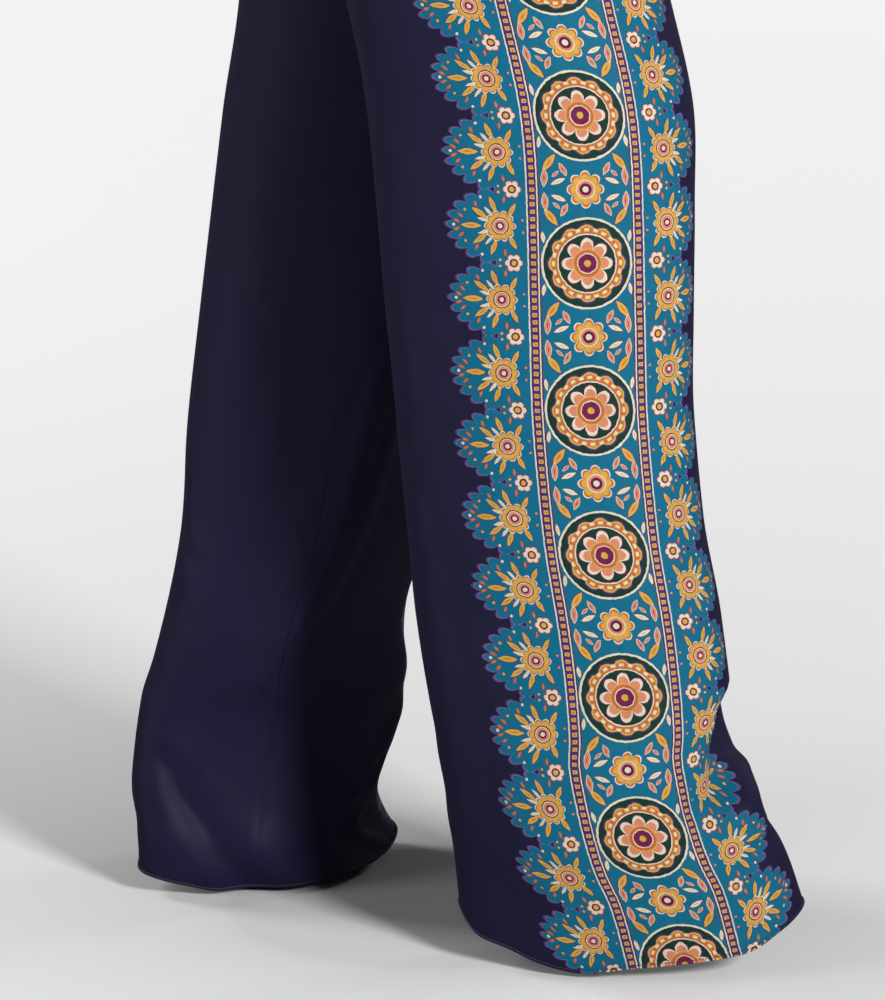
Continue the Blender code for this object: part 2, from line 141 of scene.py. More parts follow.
LEFT_LEG = table_of(
    Ring,
    (0.900, 0.090, -0.010, 0.126, 0.686, 2.3),
    (0.850, 0.092, -0.014, 0.123, 0.678, 2.3),
    (0.760, 0.094, -0.028, 0.112, 0.646, 2.3),
    (0.630, 0.095, -0.044, 0.106, 0.618, 2.3, 0.004, 0.002),
    (0.560, 0.096, -0.056, 0.103, 0.606, 2.3, 0.012, 0.005),
    (0.485, 0.097, -0.067, 0.101, 0.596, 2.3, 0.022, 0.010),
    (0.410, 0.098, -0.078, 0.099, 0.588, 2.3, 0.032, 0.015),
    (0.340, 0.098, -0.088, 0.097, 0.580, 2.3, 0.040, 0.020),
    (0.265, 0.098, -0.099, 0.092, 0.575, 2.3, 0.042, 0.026),
    (0.190, 0.098, -0.120, 0.085, 0.571, 2.2, 0.044, 0.034),
    (0.160, 0.098, -0.125, 0.087, 0.570, 2.2, 0.044, 0.038),
    (0.130, 0.097, -0.128, 0.092, 0.569, 2.2, 0.044, 0.042),
    (0.095, 0.096, -0.134, 0.090, 0.568, 2.2, 0.045, 0.048),
    (0.060, 0.096, -0.139, 0.087, 0.567, 2.2, 0.045, 0.052),
    (0.032, 0.096, -0.140, 0.082, 0.566, 2.2, 0.043, 0.055),
    (0.012, 0.096, -0.136, 0.085, 0.566, 2.2, 0.041, 0.057),
    (0.000, 0.096, -0.132, 0.089, 0.566, 2.2, 0.040, 0.058),
)

# Round a leg, an angle of 0 is the inner side, 90 the front, 180 the outer side
# and 270 the back. Seams stand at these angles.

INSEAM_ANGLE = 4.0
SIDE_SEAM_ANGLE = 163.0
HIP_SEAM_ANGLE = 171.0

# The hem: pairs of an angle round the leg and the height above the floor there.

RIGHT_HEM = (
    (0, 0.022), (60, 0.036), (90, 0.042), (120, 0.031), (137, 0.019), (155, 0.014), (178, 0.009),
    (193, 0.004), (208, 0.008), (223, 0.016), (240, 0.022), (265, 0.038), (310, 0.034),
)
LEFT_HEM = (
    (0, 0.004), (30, 0.007), (60, 0.009), (90, 0.014), (135, 0.016), (180, 0.008), (230, 0.009),
    (270, 0.017), (300, 0.015), (325, 0.009), (345, 0.004),
)
HEM_EASE_HEIGHT = 0.240

# The folds. Each runs down from one height and angle to another, bows sideways
# by so many degrees halfway, fades away at its ends unless it runs into the hem,
# and is lifted out (or, below zero, sunk in). Its half-widths are towards greater
# angles and towards lesser ones.

Fold = namedtuple("Fold", "top top_angle bottom bottom_angle bow greater lesser lift")
RIGHT_FOLDS = table_of(
    Fold,
    (0.195, 84, 0.095, 116, 0, 0.034, 0.026, -0.0170),
    (0.130, 84, 0.060, 112, 4, 0.026, 0.026, 0.0080),
    (0.620, 120, 0.060, 116, 4, 0.022, 0.050, 0.0040),
    (0.560, 216, 0.000, 222, -6, 0.030, 0.045, -0.0040),
    (0.700, 292, 0.140, 306, 6, 0.030, 0.030, 0.0070),
    (0.640, 318, 0.080, 330, 6, 0.030, 0.030, -0.0080),
    (0.470, 60, 0.060, 46, -8, 0.028, 0.034, -0.0060),
)
LEFT_FOLDS = table_of(
    Fold,
    (0.560, 40, 0.080, -8, 6, 0.014, 0.048, 0.0115),
    (0.600, 66, 0.050, 44, 4, 0.045, 0.045, -0.0080),
    (0.120, 92, 0.020, 50, 0, 0.016, 0.018, 0.0050),
    (0.110, -52, 0.000, -2, 0, 0.022, 0.018, -0.0080),
    (0.640, 262, 0.240, 262, 0, 0.030, 0.018, 0.0030),
    (0.600, 132, 0.000, 140, 6, 0.034, 0.030, -0.0060),
    (0.560, 200, 0.040, 212, -8, 0.034, 0.030, 0.0060),
    (0.500, 236, 0.120, 246, 4, 0.026, 0.026, -0.0050),
)
FOLD_RADIUS = 0.092
FOLD_FADE = 0.22

# --- Finer sizes ---

SILK = 0.0008
HEM_BEAD = 0.0013
SEAM_DIP = 0.0005
SEAM_SHUT = 0.00001
SEAM_REACH = 0.0014
INSEAM_FADE = 0.8
INSEAM_FADE_START = 0.08
INSEAM_FADE_REACH = 0.10
CREASE_FADE = 0.25
CREASE_STEPS = 6
CREASE_REACHES = 3
CROTCH_SPARE = 0.00001
CROTCH_STEP = 0.0005
WALL_SPARE = 0.00002
SHARP_ANGLE = 40
RING_POINTS = 360
FINE_STEPS = 720
LEAST_HALF_WIDTH, MOST_HALF_WIDTH, WIDTH_TRIES = 0.02, 0.16, 24
SEAT_ROWS = 60
LEG_ROW_STEP = 0.0040
HEM_ROWS = (0.0060, 0.0045, 0.0036, 0.0030, 0.0026, 0.0021, 0.0016, 0.0011, 0.0007, 0.0003, 0.0001, 0.0)
FRONT_COLUMNS = 88
BACK_COLUMNS = 108
FLOOR_HEIGHT = -WAIST_HEIGHT

# The smaller creases. Each follows a path of (height, angle) from its top down,
# lifted out (or, below zero, sunk in), with half-widths towards greater and
# lesser angles.

Crease = namedtuple("Crease", "lift greater lesser path")
RIGHT_CREASES = table_of(
    Crease,
    (-0.0016, 0.010, 0.014, ((0.360, 236), (0.280, 226), (0.190, 222))),
    (0.0014, 0.012, 0.010, ((0.250, 214), (0.160, 206), (0.070, 208))),
    (-0.0012, 0.008, 0.012, ((0.165, 92), (0.120, 108), (0.085, 128))),
    (0.0012, 0.009, 0.009, ((0.110, 126), (0.060, 134), (0.012, 138))),
    (-0.0022, 0.010, 0.013, ((0.560, 300), (0.480, 318), (0.380, 330))),
    (0.0026, 0.008, 0.016, ((0.420, 344), (0.300, 352), (0.150, 356))),
    (-0.0020, 0.009, 0.010, ((0.240, 24), (0.170, 40), (0.110, 62))),
    (0.0020, 0.009, 0.012, ((0.130, 336), (0.070, 344), (0.015, 352))),
    (-0.0018, 0.007, 0.010, ((0.090, 290), (0.050, 306), (0.012, 314))),
)
LEFT_CREASES = table_of(
    Crease,
    (0.0050, 0.0043, 0.020, (
        (0.440, 24), (0.396, 20), (0.339, 17), (0.299, 13),
        (0.247, 10), (0.203, 7), (0.171, 0.6), (0.105, -8),
    )),
    (-0.0013, 0.004, 0.005, ((0.400, 12), (0.350, 9), (0.300, 6), (0.262, 2))),
    (-0.0018, 0.005, 0.005, ((0.165, 2), (0.147, -1), (0.124, -8), (0.100, -16), (0.085, -24))),
    (0.0058, 0.020, 0.019, ((0.110, -52), (0.080, -40), (0.050, -26), (0.020, -12), (0.000, -2))),
    (-0.0014, 0.010, 0.008, ((0.092, -50), (0.070, -36), (0.046, -18), (0.020, -8), (0.006, -4))),
    (0.0010, 0.010, 0.014, ((0.090, -20), (0.060, -6), (0.028, 4), (0.004, 8))),
    (-0.0034, 0.006, 0.006, ((0.082, 78), (0.068, 68), (0.054, 54), (0.047, 40), (0.044, 28))),
    (0.0020, 0.005, 0.006, ((0.060, 44), (0.046, 40), (0.032, 38), (0.012, 37))),
    (0.0024, 0.005, 0.006, ((0.058, 62), (0.040, 54), (0.024, 57), (0.010, 68), (0.002, 80))),
    (-0.0020, 0.007, 0.005, ((0.262, -86), (0.258, -74), (0.246, -56), (0.232, -42))),
    (0.0016, 0.010, 0.012, ((0.330, -70), (0.290, -66), (0.240, -56), (0.200, -48))),
    (-0.0020, 0.010, 0.014, ((0.520, 150), (0.430, 162), (0.340, 166))),
    (0.0022, 0.008, 0.014, ((0.380, 196), (0.270, 204), (0.150, 206))),
    (-0.0018, 0.007, 0.009, ((0.200, 128), (0.130, 142), (0.070, 160))),
    (0.0020, 0.008, 0.010, ((0.120, 226), (0.060, 218), (0.010, 214))),
    (-0.0020, 0.008, 0.008, ((0.260, 250), (0.200, 238), (0.160, 222))),
)


# --- Curves ---


def smooth_step(value):
    """0 below 0, 1 above 1, and an eased rise between."""
    t = np.clip(value, 0.0, 1.0)
    return t * t * (3.0 - 2.0 * t)


def hermite(at, known, values):
    """A smooth curve through values at increasing places, without overshoot."""
    known, values = np.asarray(known, float), np.asarray(values, float)
    steps = np.diff(known)
    slopes = np.diff(values) / steps
    tangents = np.concatenate([[slopes[0]], (slopes[1:] + slopes[:-1]) / 2, [slopes[-1]]])
    turning = np.concatenate([[False], slopes[1:] * slopes[:-1] <= 0, [False]])
    tangents[turning] = 0.0
    i = np.clip(np.searchsorted(known, at) - 1, 0, len(steps) - 1)
    t = (at - known[i]) / steps[i]
    return (
        (1 + 2 * t) * (1 - t) ** 2 * values[i]
        + t * (1 - t) ** 2 * steps[i] * tangents[i]
        + t * t * (3 - 2 * t) * values[i + 1]
        + t * t * (t - 1) * steps[i] * tangents[i + 1]
    )


def column(table, name, height):
    """A table's column, read smoothly at a height."""
    rows = sorted(table, key=lambda row: row.height)
    return float(hermite(height, [r.height for r in rows], [getattr(r, name) for r in rows]))


def round_value(points, angles):
    """The hem's height at angles, smooth all the way round."""
    known, values = np.array(points, float).T
    known = np.concatenate([known - 360, known, known + 360])
    return hermite(np.mod(angles, 360.0), known, np.tile(values, 3))


def superellipse(angles, half_width, half_depth, square):
    """Points (towards the inner side, towards the front) of a rounded oval."""
    c, s = np.cos(angles), np.sin(angles)
    power = 2.0 / square
    x = half_width * np.sign(c) * np.abs(c) ** power
    return x, half_depth * np.sign(s) * np.abs(s) ** power


def leg_section(angles, half_width, ring):
    """A rounded oval whose front is drawn outwards and whose back is drawn inwards."""
    inner, ahead = superellipse(angles, half_width, ring.half_depth, ring.square)
    drawn = np.where(ahead > 0, -ring.front_out, ring.back_in)
    return inner + drawn * (ahead / ring.half_depth) ** 2, ahead


def even_angles(half_width, ring):
    """Angles, from the inseam round to it again, that space a section evenly."""
    start = math.radians(INSEAM_ANGLE)
    fine = start + np.linspace(0, 2 * math.pi, 2 * FINE_STEPS + 1)
    x, y = leg_section(fine, half_width, ring)
    along = np.concatenate([[0], np.cumsum(np.hypot(np.diff(x), np.diff(y)))])
    even = np.interp(np.linspace(0, along[-1], RING_POINTS + 1), along, fine)
    return even, along[-1]


def half_width_for(ring):
    """The half width that gives a section its girth."""
    low, high = LEAST_HALF_WIDTH, MOST_HALF_WIDTH
    for _ in range(WIDTH_TRIES):
        middle = (low + high) / 2
        if even_angles(middle, ring)[1] < ring.girth:
            low = middle
        else:
            high = middle
    return (low + high) / 2


# --- One half of the garment ---


def fold_lift(folds, angles, height):
    """How far the cloth stands out at angles (degrees) and one height."""
    total = np.zeros(len(angles))
    for fold in folds:
        run = (fold.top - height) / (fold.top - fold.bottom)
        middle = fold.top_angle + (fold.bottom_angle - fold.top_angle) * run
        middle += fold.bow * math.sin(math.pi * min(max(run, 0), 1))
        across = (angles - middle + 180.0) % 360.0 - 180.0
        reach = np.where(across > 0, fold.greater, fold.lesser)
        away = np.radians(across) * FOLD_RADIUS / reach
        upper = smooth_step(run / FOLD_FADE)
        lower = 1.0 if fold.bottom <= 0 else smooth_step((1 - run) / FOLD_FADE)
        total += fold.lift * upper * lower * np.exp(-away * away)
    return total


def leg_ring(side, legs, folds, height):
    """A closed section of a leg, from the inseam by the front, and its angles."""
    ring = Ring(height, *(column(legs, name, height) for name in Ring._fields[1:]))
    width = half_width_for(ring)
    angles, _ = even_angles(width, ring)
    inner, ahead = leg_section(angles, width, ring)
    step_in, step_ahead = np.gradient(inner), np.gradient(ahead)
    length = np.hypot(step_in, step_ahead)
    lift = fold_lift(folds, np.degrees(angles), height)
    inner = inner + step_ahead / length * lift
    ahead = ahead - step_in / length * lift
    return side * (ring.across - inner), -(ring.ahead + ahead), np.degrees(angles)


def seam_share(angles):
    """How far round the ring, from 0 to 1, the side seam stands."""
    return float(np.interp(SIDE_SEAM_ANGLE, angles, np.linspace(0, 1, len(angles))))


def seat_arc(side, share, height):
    """A half section of the seat, from centre front to centre back, spaced as the ring."""
    fine = np.radians(np.linspace(90, 270, FINE_STEPS + 1))
    reach = np.where(
        fine < math.pi, column(SEAT, "front", height), column(SEAT, "back", height)
    )
    x = -side * column(SEAT, "half_width", height) * np.cos(fine)
    y = -reach * np.sin(fine)
    along = np.concatenate([[0], np.cumsum(np.hypot(np.diff(x), np.diff(y)))])
    seam = float(np.interp(math.radians(HIP_SEAM_ANGLE), fine, along))
    spots = np.linspace(0, 1, RING_POINTS + 1)
    wanted = np.interp(spots, [0, share, 1], [0, seam, along[-1]])
    return np.interp(wanted, along, x), np.interp(wanted, along, y)


def leg_blend(height, spots, share):
    """How much of each point is leg and not seat: 0 at the hip, 1 at the crotch."""
    top = WAIST_HEIGHT - BAND_HEIGHT / 2
    drop = (top - height) / (top - CROTCH_HEIGHT)
    low = np.clip((CROTCH_HEIGHT + RISE_CURVE_HEIGHT - height) / RISE_CURVE_HEIGHT, 0, 1)
    curve = 1 - math.sqrt(max(0.0, 1 - low**RISE_CURVE_POWER))
    eased = smooth_step((drop - LEG_BLEND_START) / (1 - LEG_BLEND_START))
    edge = np.minimum(spots / share, (1 - spots) / (1 - share))
    near_edge = (1 - np.clip(edge / EDGE_BLEND_REACH, 0, 1)) ** 2
    return near_edge * curve + (1 - near_edge) * eased


def half_garment(side, legs, folds, hem, heights):
    """Outer points of one half, a row for each height, and their angles."""
    rows, turns = [], []
    for height in heights:
        ring_x, ring_y, angles = leg_ring(side, legs, folds, height)
        share = seam_share(angles)
        spots = np.linspace(0, 1, RING_POINTS + 1)
        x, y = ring_x, ring_y
        if height > CROTCH_HEIGHT:
            seat_x, seat_y = seat_arc(side, share, height)
            blend = leg_blend(height, spots, share)
            x = (1 - blend) * seat_x + blend * ring_x
            y = (1 - blend) * seat_y + blend * ring_y
            x[[0, -1]] = 0.0
        if height > CLEAR_HEIGHT:
            x = side * np.maximum(side * x, SEAM_GAP / 2)
        lift = round_value(hem, angles) * (1 - smooth_step(height / HEM_EASE_HEIGHT))
        rows.append(np.stack([x, y, height + lift - WAIST_HEIGHT], axis=1))
        turns.append(angles)
    return np.array(rows), np.array(turns)


def crease_lift(creases, angles, heights):
    """How far the smaller creases lift each point of a grid."""
    total = np.zeros_like(angles)
    for crease in creases:
        path = np.array(crease.path, float)
        spots = np.linspace(0, len(path) - 1, CREASE_STEPS * len(path))
        line = np.stack(
            [hermite(spots, np.arange(len(path)), path[:, k]) for k in (1, 0)], axis=1
        )
        line[:, 0] = np.radians(line[:, 0]) * FOLD_RADIUS
        reach = CREASE_REACHES * max(crease.greater, crease.lesser)
        for turn in (-360.0, 0.0, 360.0):
            across = np.radians(angles + turn) * FOLD_RADIUS
            near = (across > line[:, 0].min() - reach) & (across < line[:, 0].max() + reach)
            near &= (heights > line[:, 1].min() - reach) & (heights < line[:, 1].max() + reach)
            if near.any():
                total[near] += one_crease(crease, line, across[near], heights[near])
    return total


def one_crease(crease, line, across, heights):
    """A crease's lift at points, by their distance from its line."""
    best = np.full(len(across), 1e9)
    lift = np.zeros(len(across))
    last = len(line) - 1
    for k in range(last):
        start, step = line[k], line[k + 1] - line[k]
        to_x, to_y = across - start[0], heights - start[1]
        share = np.clip((to_x * step[0] + to_y * step[1]) / step.dot(step), 0, 1)
        off_x, off_y = to_x - share * step[0], to_y - share * step[1]
        away = np.hypot(off_x, off_y)
        run = (k + share) / last
        fade = smooth_step(run / CREASE_FADE) * smooth_step((1 - run) / CREASE_FADE)
        reach = np.where(off_x > 0, crease.greater, crease.lesser)
        made = crease.lift * fade * np.exp(-((away / reach) ** 2))
        closer = away < best
        best = np.where(closer, away, best)
        lift = np.where(closer, made, lift)
    return lift


def outward_normals(points, heights, side):
    """Unit normals of a half garment's rows, continuous across the inseam."""
    along = np.gradient(points, axis=1)
    legs = heights <= CROTCH_HEIGHT
    along[legs, 0] = along[legs, -1] = (points[legs, 1] - points[legs, -2]) / 2
    downward = np.gradient(points, axis=0)
    normals = -side * np.cross(along, downward)
    normals[~legs, 0, 0] = normals[~legs, -1, 0] = 0.0
    return normals / np.linalg.norm(normals, axis=2, keepdims=True)


def row_heights():
    """Heights of the cloth's rows, from under the waistband down to the hem."""
    top = WAIST_HEIGHT - BAND_HEIGHT / 2 - SEAM_GAP
    bend = np.sin(np.linspace(0, math.pi / 2, SEAT_ROWS))
    seat = top + (CROTCH_HEIGHT + CROTCH_SPARE - top) * bend
    count = int((CROTCH_HEIGHT - HEM_ROWS[0]) / LEG_ROW_STEP)
    legs = np.linspace(CROTCH_HEIGHT - CROTCH_STEP, HEM_ROWS[0], count)
    return np.concatenate([seat, legs, HEM_ROWS[1:]])


Half = namedtuple("Half", "side heights points normals shares rises")


def half_cloth(side, legs, folds, hem, creases):
    """One half of the garment as a fine grid, with its creases."""
    heights = row_heights()
    points, angles = half_garment(side, legs, folds, hem, heights)
    normals = outward_normals(points, heights, side)
    grid_heights = np.repeat(heights[:, None], angles.shape[1], axis=1)
    points = points + normals * crease_lift(creases, angles, grid_heights)[:, :, None]
    points = kept_side(points, heights, side)
    normals = outward_normals(points, heights, side)
    shares = np.array([seam_share(row) for row in angles])
    seam = np.array([
        [np.interp(share, np.linspace(0, 1, len(row)), row[:, k]) for k in range(3)]
        for share, row in zip(shares, points)
    ])
    steps = np.linalg.norm(np.diff(seam, axis=0), axis=1)
    rises = np.concatenate([np.cumsum(steps[::-1])[::-1], [0.0]])
    return Half(side, heights, points, normals, shares, rises)


def kept_side(points, heights, side):
    """The points, none of the upper rows past the middle plane, where the two halves meet."""
    upper = heights > CLEAR_HEIGHT
    away = side * points[upper, :, 0]
    near = np.exp(-(away / SEAM_REACH) ** 2)
    points[upper, :, 0] = side * np.maximum(away - SEAM_GAP / 2 * near, SEAM_SHUT)
    return points


Panel = namedtuple("Panel", "points normals across rise heights")


def panel_grid(half, front, columns):
    """A panel's points and normals, and their distances from the side seam and the hem."""
    made = np.empty((len(half.points), columns + 1, 3))
    turned, across = np.empty_like(made), np.empty(made.shape[:2])
    spots = np.linspace(0, 1, half.points.shape[1])
    for r, (row, normal) in enumerate(zip(half.points, half.normals)):
        along = np.concatenate([[0], np.cumsum(np.linalg.norm(np.diff(row, axis=0), axis=1))])
        seam = np.interp(half.shares[r], spots, along)
        first, last = (0.0, seam) if front else (seam, along[-1])
        wanted = np.linspace(first + SEAM_SHUT, last - SEAM_SHUT, columns + 1)
        across[r] = wanted - seam
        for k in range(3):
            made[r, :, k] = np.interp(wanted, along, row[:, k])
            turned[r, :, k] = np.interp(wanted, along, normal[:, k])
        side, inner = last - wanted, wanted - first
        if not front:
            side, inner = inner, side
        fade = INSEAM_FADE * smooth_step((half.heights[r] - INSEAM_FADE_START) / INSEAM_FADE_REACH)
        dips = np.exp(-(side / SEAM_REACH) ** 2) + (1 - fade) * np.exp(-(inner / SEAM_REACH) ** 2)
        made[r] -= turned[r] * (SEAM_DIP * dips)[:, None]
    turned /= np.linalg.norm(turned, axis=2, keepdims=True)
    rise = np.repeat(half.rises[:, None], columns + 1, axis=1)
    return Panel(kept_side(made, half.heights, half.side), turned, across, rise, half.heights)


def panel_walls(panel, side):
    """The outer and the inner side of a panel, with the rolled hem's bead."""
    low = panel.heights[:, None]
    bead = np.sqrt(np.clip(HEM_BEAD**2 - (low - HEM_BEAD) ** 2, 0, None))
    half = np.where(low < HEM_BEAD, bead, np.maximum(bead, SILK / 2)) + WALL_SPARE
    outer = panel.points + panel.normals * (half - SILK / 2)[:, :, None]
    inner = panel.points - panel.normals * (half + SILK / 2)[:, :, None]
    return outer, kept_side(inner, panel.heights, side)


# --- Meshes ---


def in_scene(name, data):
    """A new object in the scene."""
    made = bpy.data.objects.new(name, data)
    bpy.context.scene.collection.objects.link(made)
    return made


def mesh_object(name, points, faces, finish, maps=None, inside=None):
    """An object of one mesh, facing outwards, with its flat map and its wrong side."""
    mesh = bpy.data.meshes.new(name)
    mesh.from_pydata(np.asarray(points).tolist(), [], faces)
    if maps is not None:
        corners = np.empty(len(mesh.loops), int)
        mesh.loops.foreach_get("vertex_index", corners)
        layer = mesh.uv_layers.new(name="flat")
        layer.data.foreach_set("uv", np.asarray(maps)[corners].ravel())
    if inside is not None:
        layer = mesh.attributes.new("wrong_side", "FLOAT", "POINT")
        layer.data.foreach_set("value", np.asarray(inside, float))
    mesh.update()
    mesh.calc_loop_triangles()
    order = np.empty(len(mesh.loop_triangles) * 3, int)
    mesh.loop_triangles.foreach_get("vertices", order)
    a, b, c = np.asarray(points)[order].reshape(-1, 3, 3).transpose(1, 0, 2)
    if np.einsum("ij,ij->i", a, np.cross(b, c)).sum() < 0:
        mesh.flip_normals()
    mesh.shade_smooth()
    mesh.set_sharp_from_angle(angle=math.radians(SHARP_ANGLE))
    mesh.materials.append(finish)
    return in_scene(name, mesh)


def wall_object(name, outer, inner, finish, maps):
    """A closed wall between two grids of points."""
    rows, columns = outer.shape[:2]
    count = rows * columns
    grid = np.arange(count).reshape(rows, columns)
    skin = np.stack([grid[:-1, :-1], grid[1:, :-1], grid[1:, 1:], grid[:-1, 1:]], axis=-1)
    skin = skin.reshape(-1, 4)
    rim = np.concatenate([grid[0, :-1], grid[:-1, -1], grid[-1, :0:-1], grid[:0:-1, 0]])
    after = np.roll(rim, -1)
    edge = np.stack([rim, after, after + count, rim + count], axis=-1)
    faces = np.concatenate([skin, skin[:, ::-1] + count, edge]).tolist()
    points = np.concatenate([outer.reshape(-1, 3), inner.reshape(-1, 3)])
    flat = np.tile(maps.reshape(-1, 2), (2, 1))
    inside = np.repeat([0.0, 1.0], count)
    return mesh_object(name, points, faces, finish, flat, inside)


def finished(made, slot, *nodes):
    """The piece rides on the garment's one body, and stands for its solids."""
    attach(made, "root")
    if nodes:
        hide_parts(*nodes)
    return made


# --- Finishes ---


def linear(code):
    """A colour written as six hex digits, as the shader wants it."""
    parts = [int(code[i : i + 2], 16) / 255 for i in (0, 2, 4)]
    made = [p / 12.92 if p <= 0.04045 else ((p + 0.055) / 1.055) ** 2.4 for p in parts]
    return (*made, 1.0)


class Wire:
    """A node's output. A sum on wires adds a math node to their tree."""

    def __init__(self, nodes, socket):
        self.nodes, self.socket = nodes, socket

    def __abs__(self):
        return self.nodes.math("ABSOLUTE", self)


def arithmetic(kind, swapped):
    """A sum of a wire with a number or another wire."""
    if swapped:
        return lambda wire, other: wire.nodes.math(kind, other, wire)
    return lambda wire, other: wire.nodes.math(kind, wire, other)


SUMS = {"add": "ADD", "sub": "SUBTRACT", "mul": "MULTIPLY", "truediv": "DIVIDE", "pow": "POWER"}
for sign, kind in SUMS.items():
    setattr(Wire, f"__{sign}__", arithmetic(kind, False))
    setattr(Wire, f"__r{sign}__", arithmetic(kind, True))


NODES_A_ROW, NODE_WIDTH, NODE_HEIGHT = 20, 190, 260
SHADER_PLACE, OUTPUT_PLACE = (4000, 0), (4400, 0)


class Nodes:
    """Adds nodes to a tree one after another, each set out beside the last."""

    def __init__(self, tree):
        self.tree, self.count = tree, 0

    def add(self, kind, feeds=None, **settings):
        node = self.tree.nodes.new(kind)
        row, place = divmod(self.count, NODES_A_ROW)
        node.location = (place * NODE_WIDTH, -row * NODE_HEIGHT)
        self.count += 1
        for name, value in settings.items():
            setattr(node, name, value)
        self.feed(node.inputs, feeds or {})
        return node

    def get(self, kind, feeds=None, socket=0, **settings):
        return Wire(self, self.add(kind, feeds, **settings).outputs[socket])

    def feed(self, sockets, feeds):
        """Links the wires to their sockets, and writes plain values into theirs."""
        for name, value in feeds.items():
            if isinstance(value, Wire):
                self.tree.links.new(value.socket, sockets[name])
            else:
                sockets[name].default_value = value

    def named(self, node):
        return {socket.name: Wire(self, socket) for socket in node.outputs}

    def math(self, kind, *values, clamp=False):
        return self.get("ShaderNodeMath", dict(enumerate(values)), operation=kind, use_clamp=clamp)

    def vector(self, kind, *values):
        socket = "Value" if kind in ("LENGTH", "DISTANCE") else "Vector"
        return self.get("ShaderNodeVectorMath", dict(enumerate(values)), socket, operation=kind)

    def join(self, x, y, z=0.0):
        return self.get("ShaderNodeCombineXYZ", {"X": x, "Y": y, "Z": z})

    def split(self, vector):
        return self.named(self.add("ShaderNodeSeparateXYZ", {0: vector})).values()

    def noise(self, vector, scale, detail=2.0, rough=0.5):
        feeds = {"Vector": vector, "Scale": scale, "Detail": detail, "Roughness": rough}
        return self.get("ShaderNodeTexNoise", feeds, "Fac")

    def mix(self, share, under, over, kind="MIX"):
        return self.get("ShaderNodeMix", {0: share, 6: under, 7: over}, 2, data_type="RGBA", blend_type=kind)

    def shade(self, colour, light):
        return self.mix(1.0, colour, self.join(light, light, light), "MULTIPLY")

    def bump(self, height, strength, distance):
        return self.get("ShaderNodeBump", {"Strength": strength, "Distance": distance, "Height": height})

    def group(self, name, **feeds):
        return self.named(self.add("ShaderNodeGroup", feeds, node_tree=bpy.data.node_groups[name]))


FLOAT, VECTOR, COLOUR = "NodeSocketFloat", "NodeSocketVector", "NodeSocketColor"
CLEAR = (0.0, 0.0, 0.0, 0.0)


def node_group(name, outputs, **inputs):
    """A new shader group: a wire for each input and a socket for each output."""
    tree = bpy.data.node_groups.new(name, "ShaderNodeTree")
    for label, value in inputs.items():
        kind = VECTOR if value is None else FLOAT if isinstance(value, float) else COLOUR
        socket = tree.interface.new_socket(label, in_out="INPUT", socket_type=kind)
        if value is not None:
            socket.default_value = value
    for label in outputs:
        kind = COLOUR if label == "Colour" else FLOAT
        tree.interface.new_socket(label, in_out="OUTPUT", socket_type=kind)
    n = Nodes(tree)
    return n, n.named(n.add("NodeGroupInput")), n.add("NodeGroupOutput").inputs


def build_flower_group():
    """How far out of a petalled flower a place is: 1 at its edge."""
    sizes = {"Across": 0.0, "Up": 0.0, "Radius": 10.0, "Petals": 8.0, "Depth": 0.25}
    n, given, out = node_group("Print flower", ("Round", "Petal", "Rib"), Place=None, **sizes)
    local = n.vector("SUBTRACT", given["Place"], n.join(given["Across"], given["Up"]))
    x, y, _ = n.split(local)
    radius = n.vector("LENGTH", local) / given["Radius"]
    rib = abs(n.math("COSINE", n.math("ARCTAN2", y, x) * given["Petals"] * 0.5))
    cut = (1.0 - rib**0.6) * given["Depth"]
    n.feed(out, {"Round": radius, "Petal": radius / (1.0 - cut), "Rib": rib})


def build_leaf_group():
    """How far out of a pointed leaf a place is: 1 at its edge."""
    sizes = {"Across": 0.0, "Up": 0.0, "Turn": 0.0, "Length": 8.0, "Width": 3.0}
    n, given, out = node_group("Print leaf", ("Edge",), Place=None, **sizes)
    local = n.vector("SUBTRACT", given["Place"], n.join(given["Across"], given["Up"]))
    feeds = {"Vector": local, "Angle": given["Turn"] * -1.0}
    x, y, _ = n.split(n.get("ShaderNodeVectorRotate", feeds, rotation_type="Z_AXIS"))
    run = x / given["Length"]
    n.feed(out, {"Edge": run * run + abs(y / given["Width"])})


def build_weave_group():
    """A fine twill: a mask of its ribs, a slow unevenness, and a height for bumps."""
    outputs = ("Ribs", "Cloud", "Height")
    n, given, out = node_group("Silk weave", outputs, Flat=None, Rib=0.5, Slub=0.35)
    x, y, _ = n.split(given["Flat"])
    steep = (x * 1.25 + y) / given["Rib"]
    ribs = (n.math("SINE", steep * math.tau) + 1.0) * 0.5
    threads = n.noise(n.join(x * 6.0, y * 0.7), 1.0, 3.0, 0.6)
    cloud = n.noise(given["Flat"], 0.045, 3.0, 0.55)
    n.feed(out, {"Ribs": ribs, "Cloud": cloud, "Height": ribs * 0.6 + threads * given["Slub"]})


INK = {
    name: linear(code)
    for name, code in dict(
        teal="045C78", lilac="785898", purple="3A2562", plum="521238", wine="641640", orange="AA5C34",
        coral="BF765A", gold="BC923A", cream="C4BCA8", green="0E3024", night="1A1736",
    ).items()
}


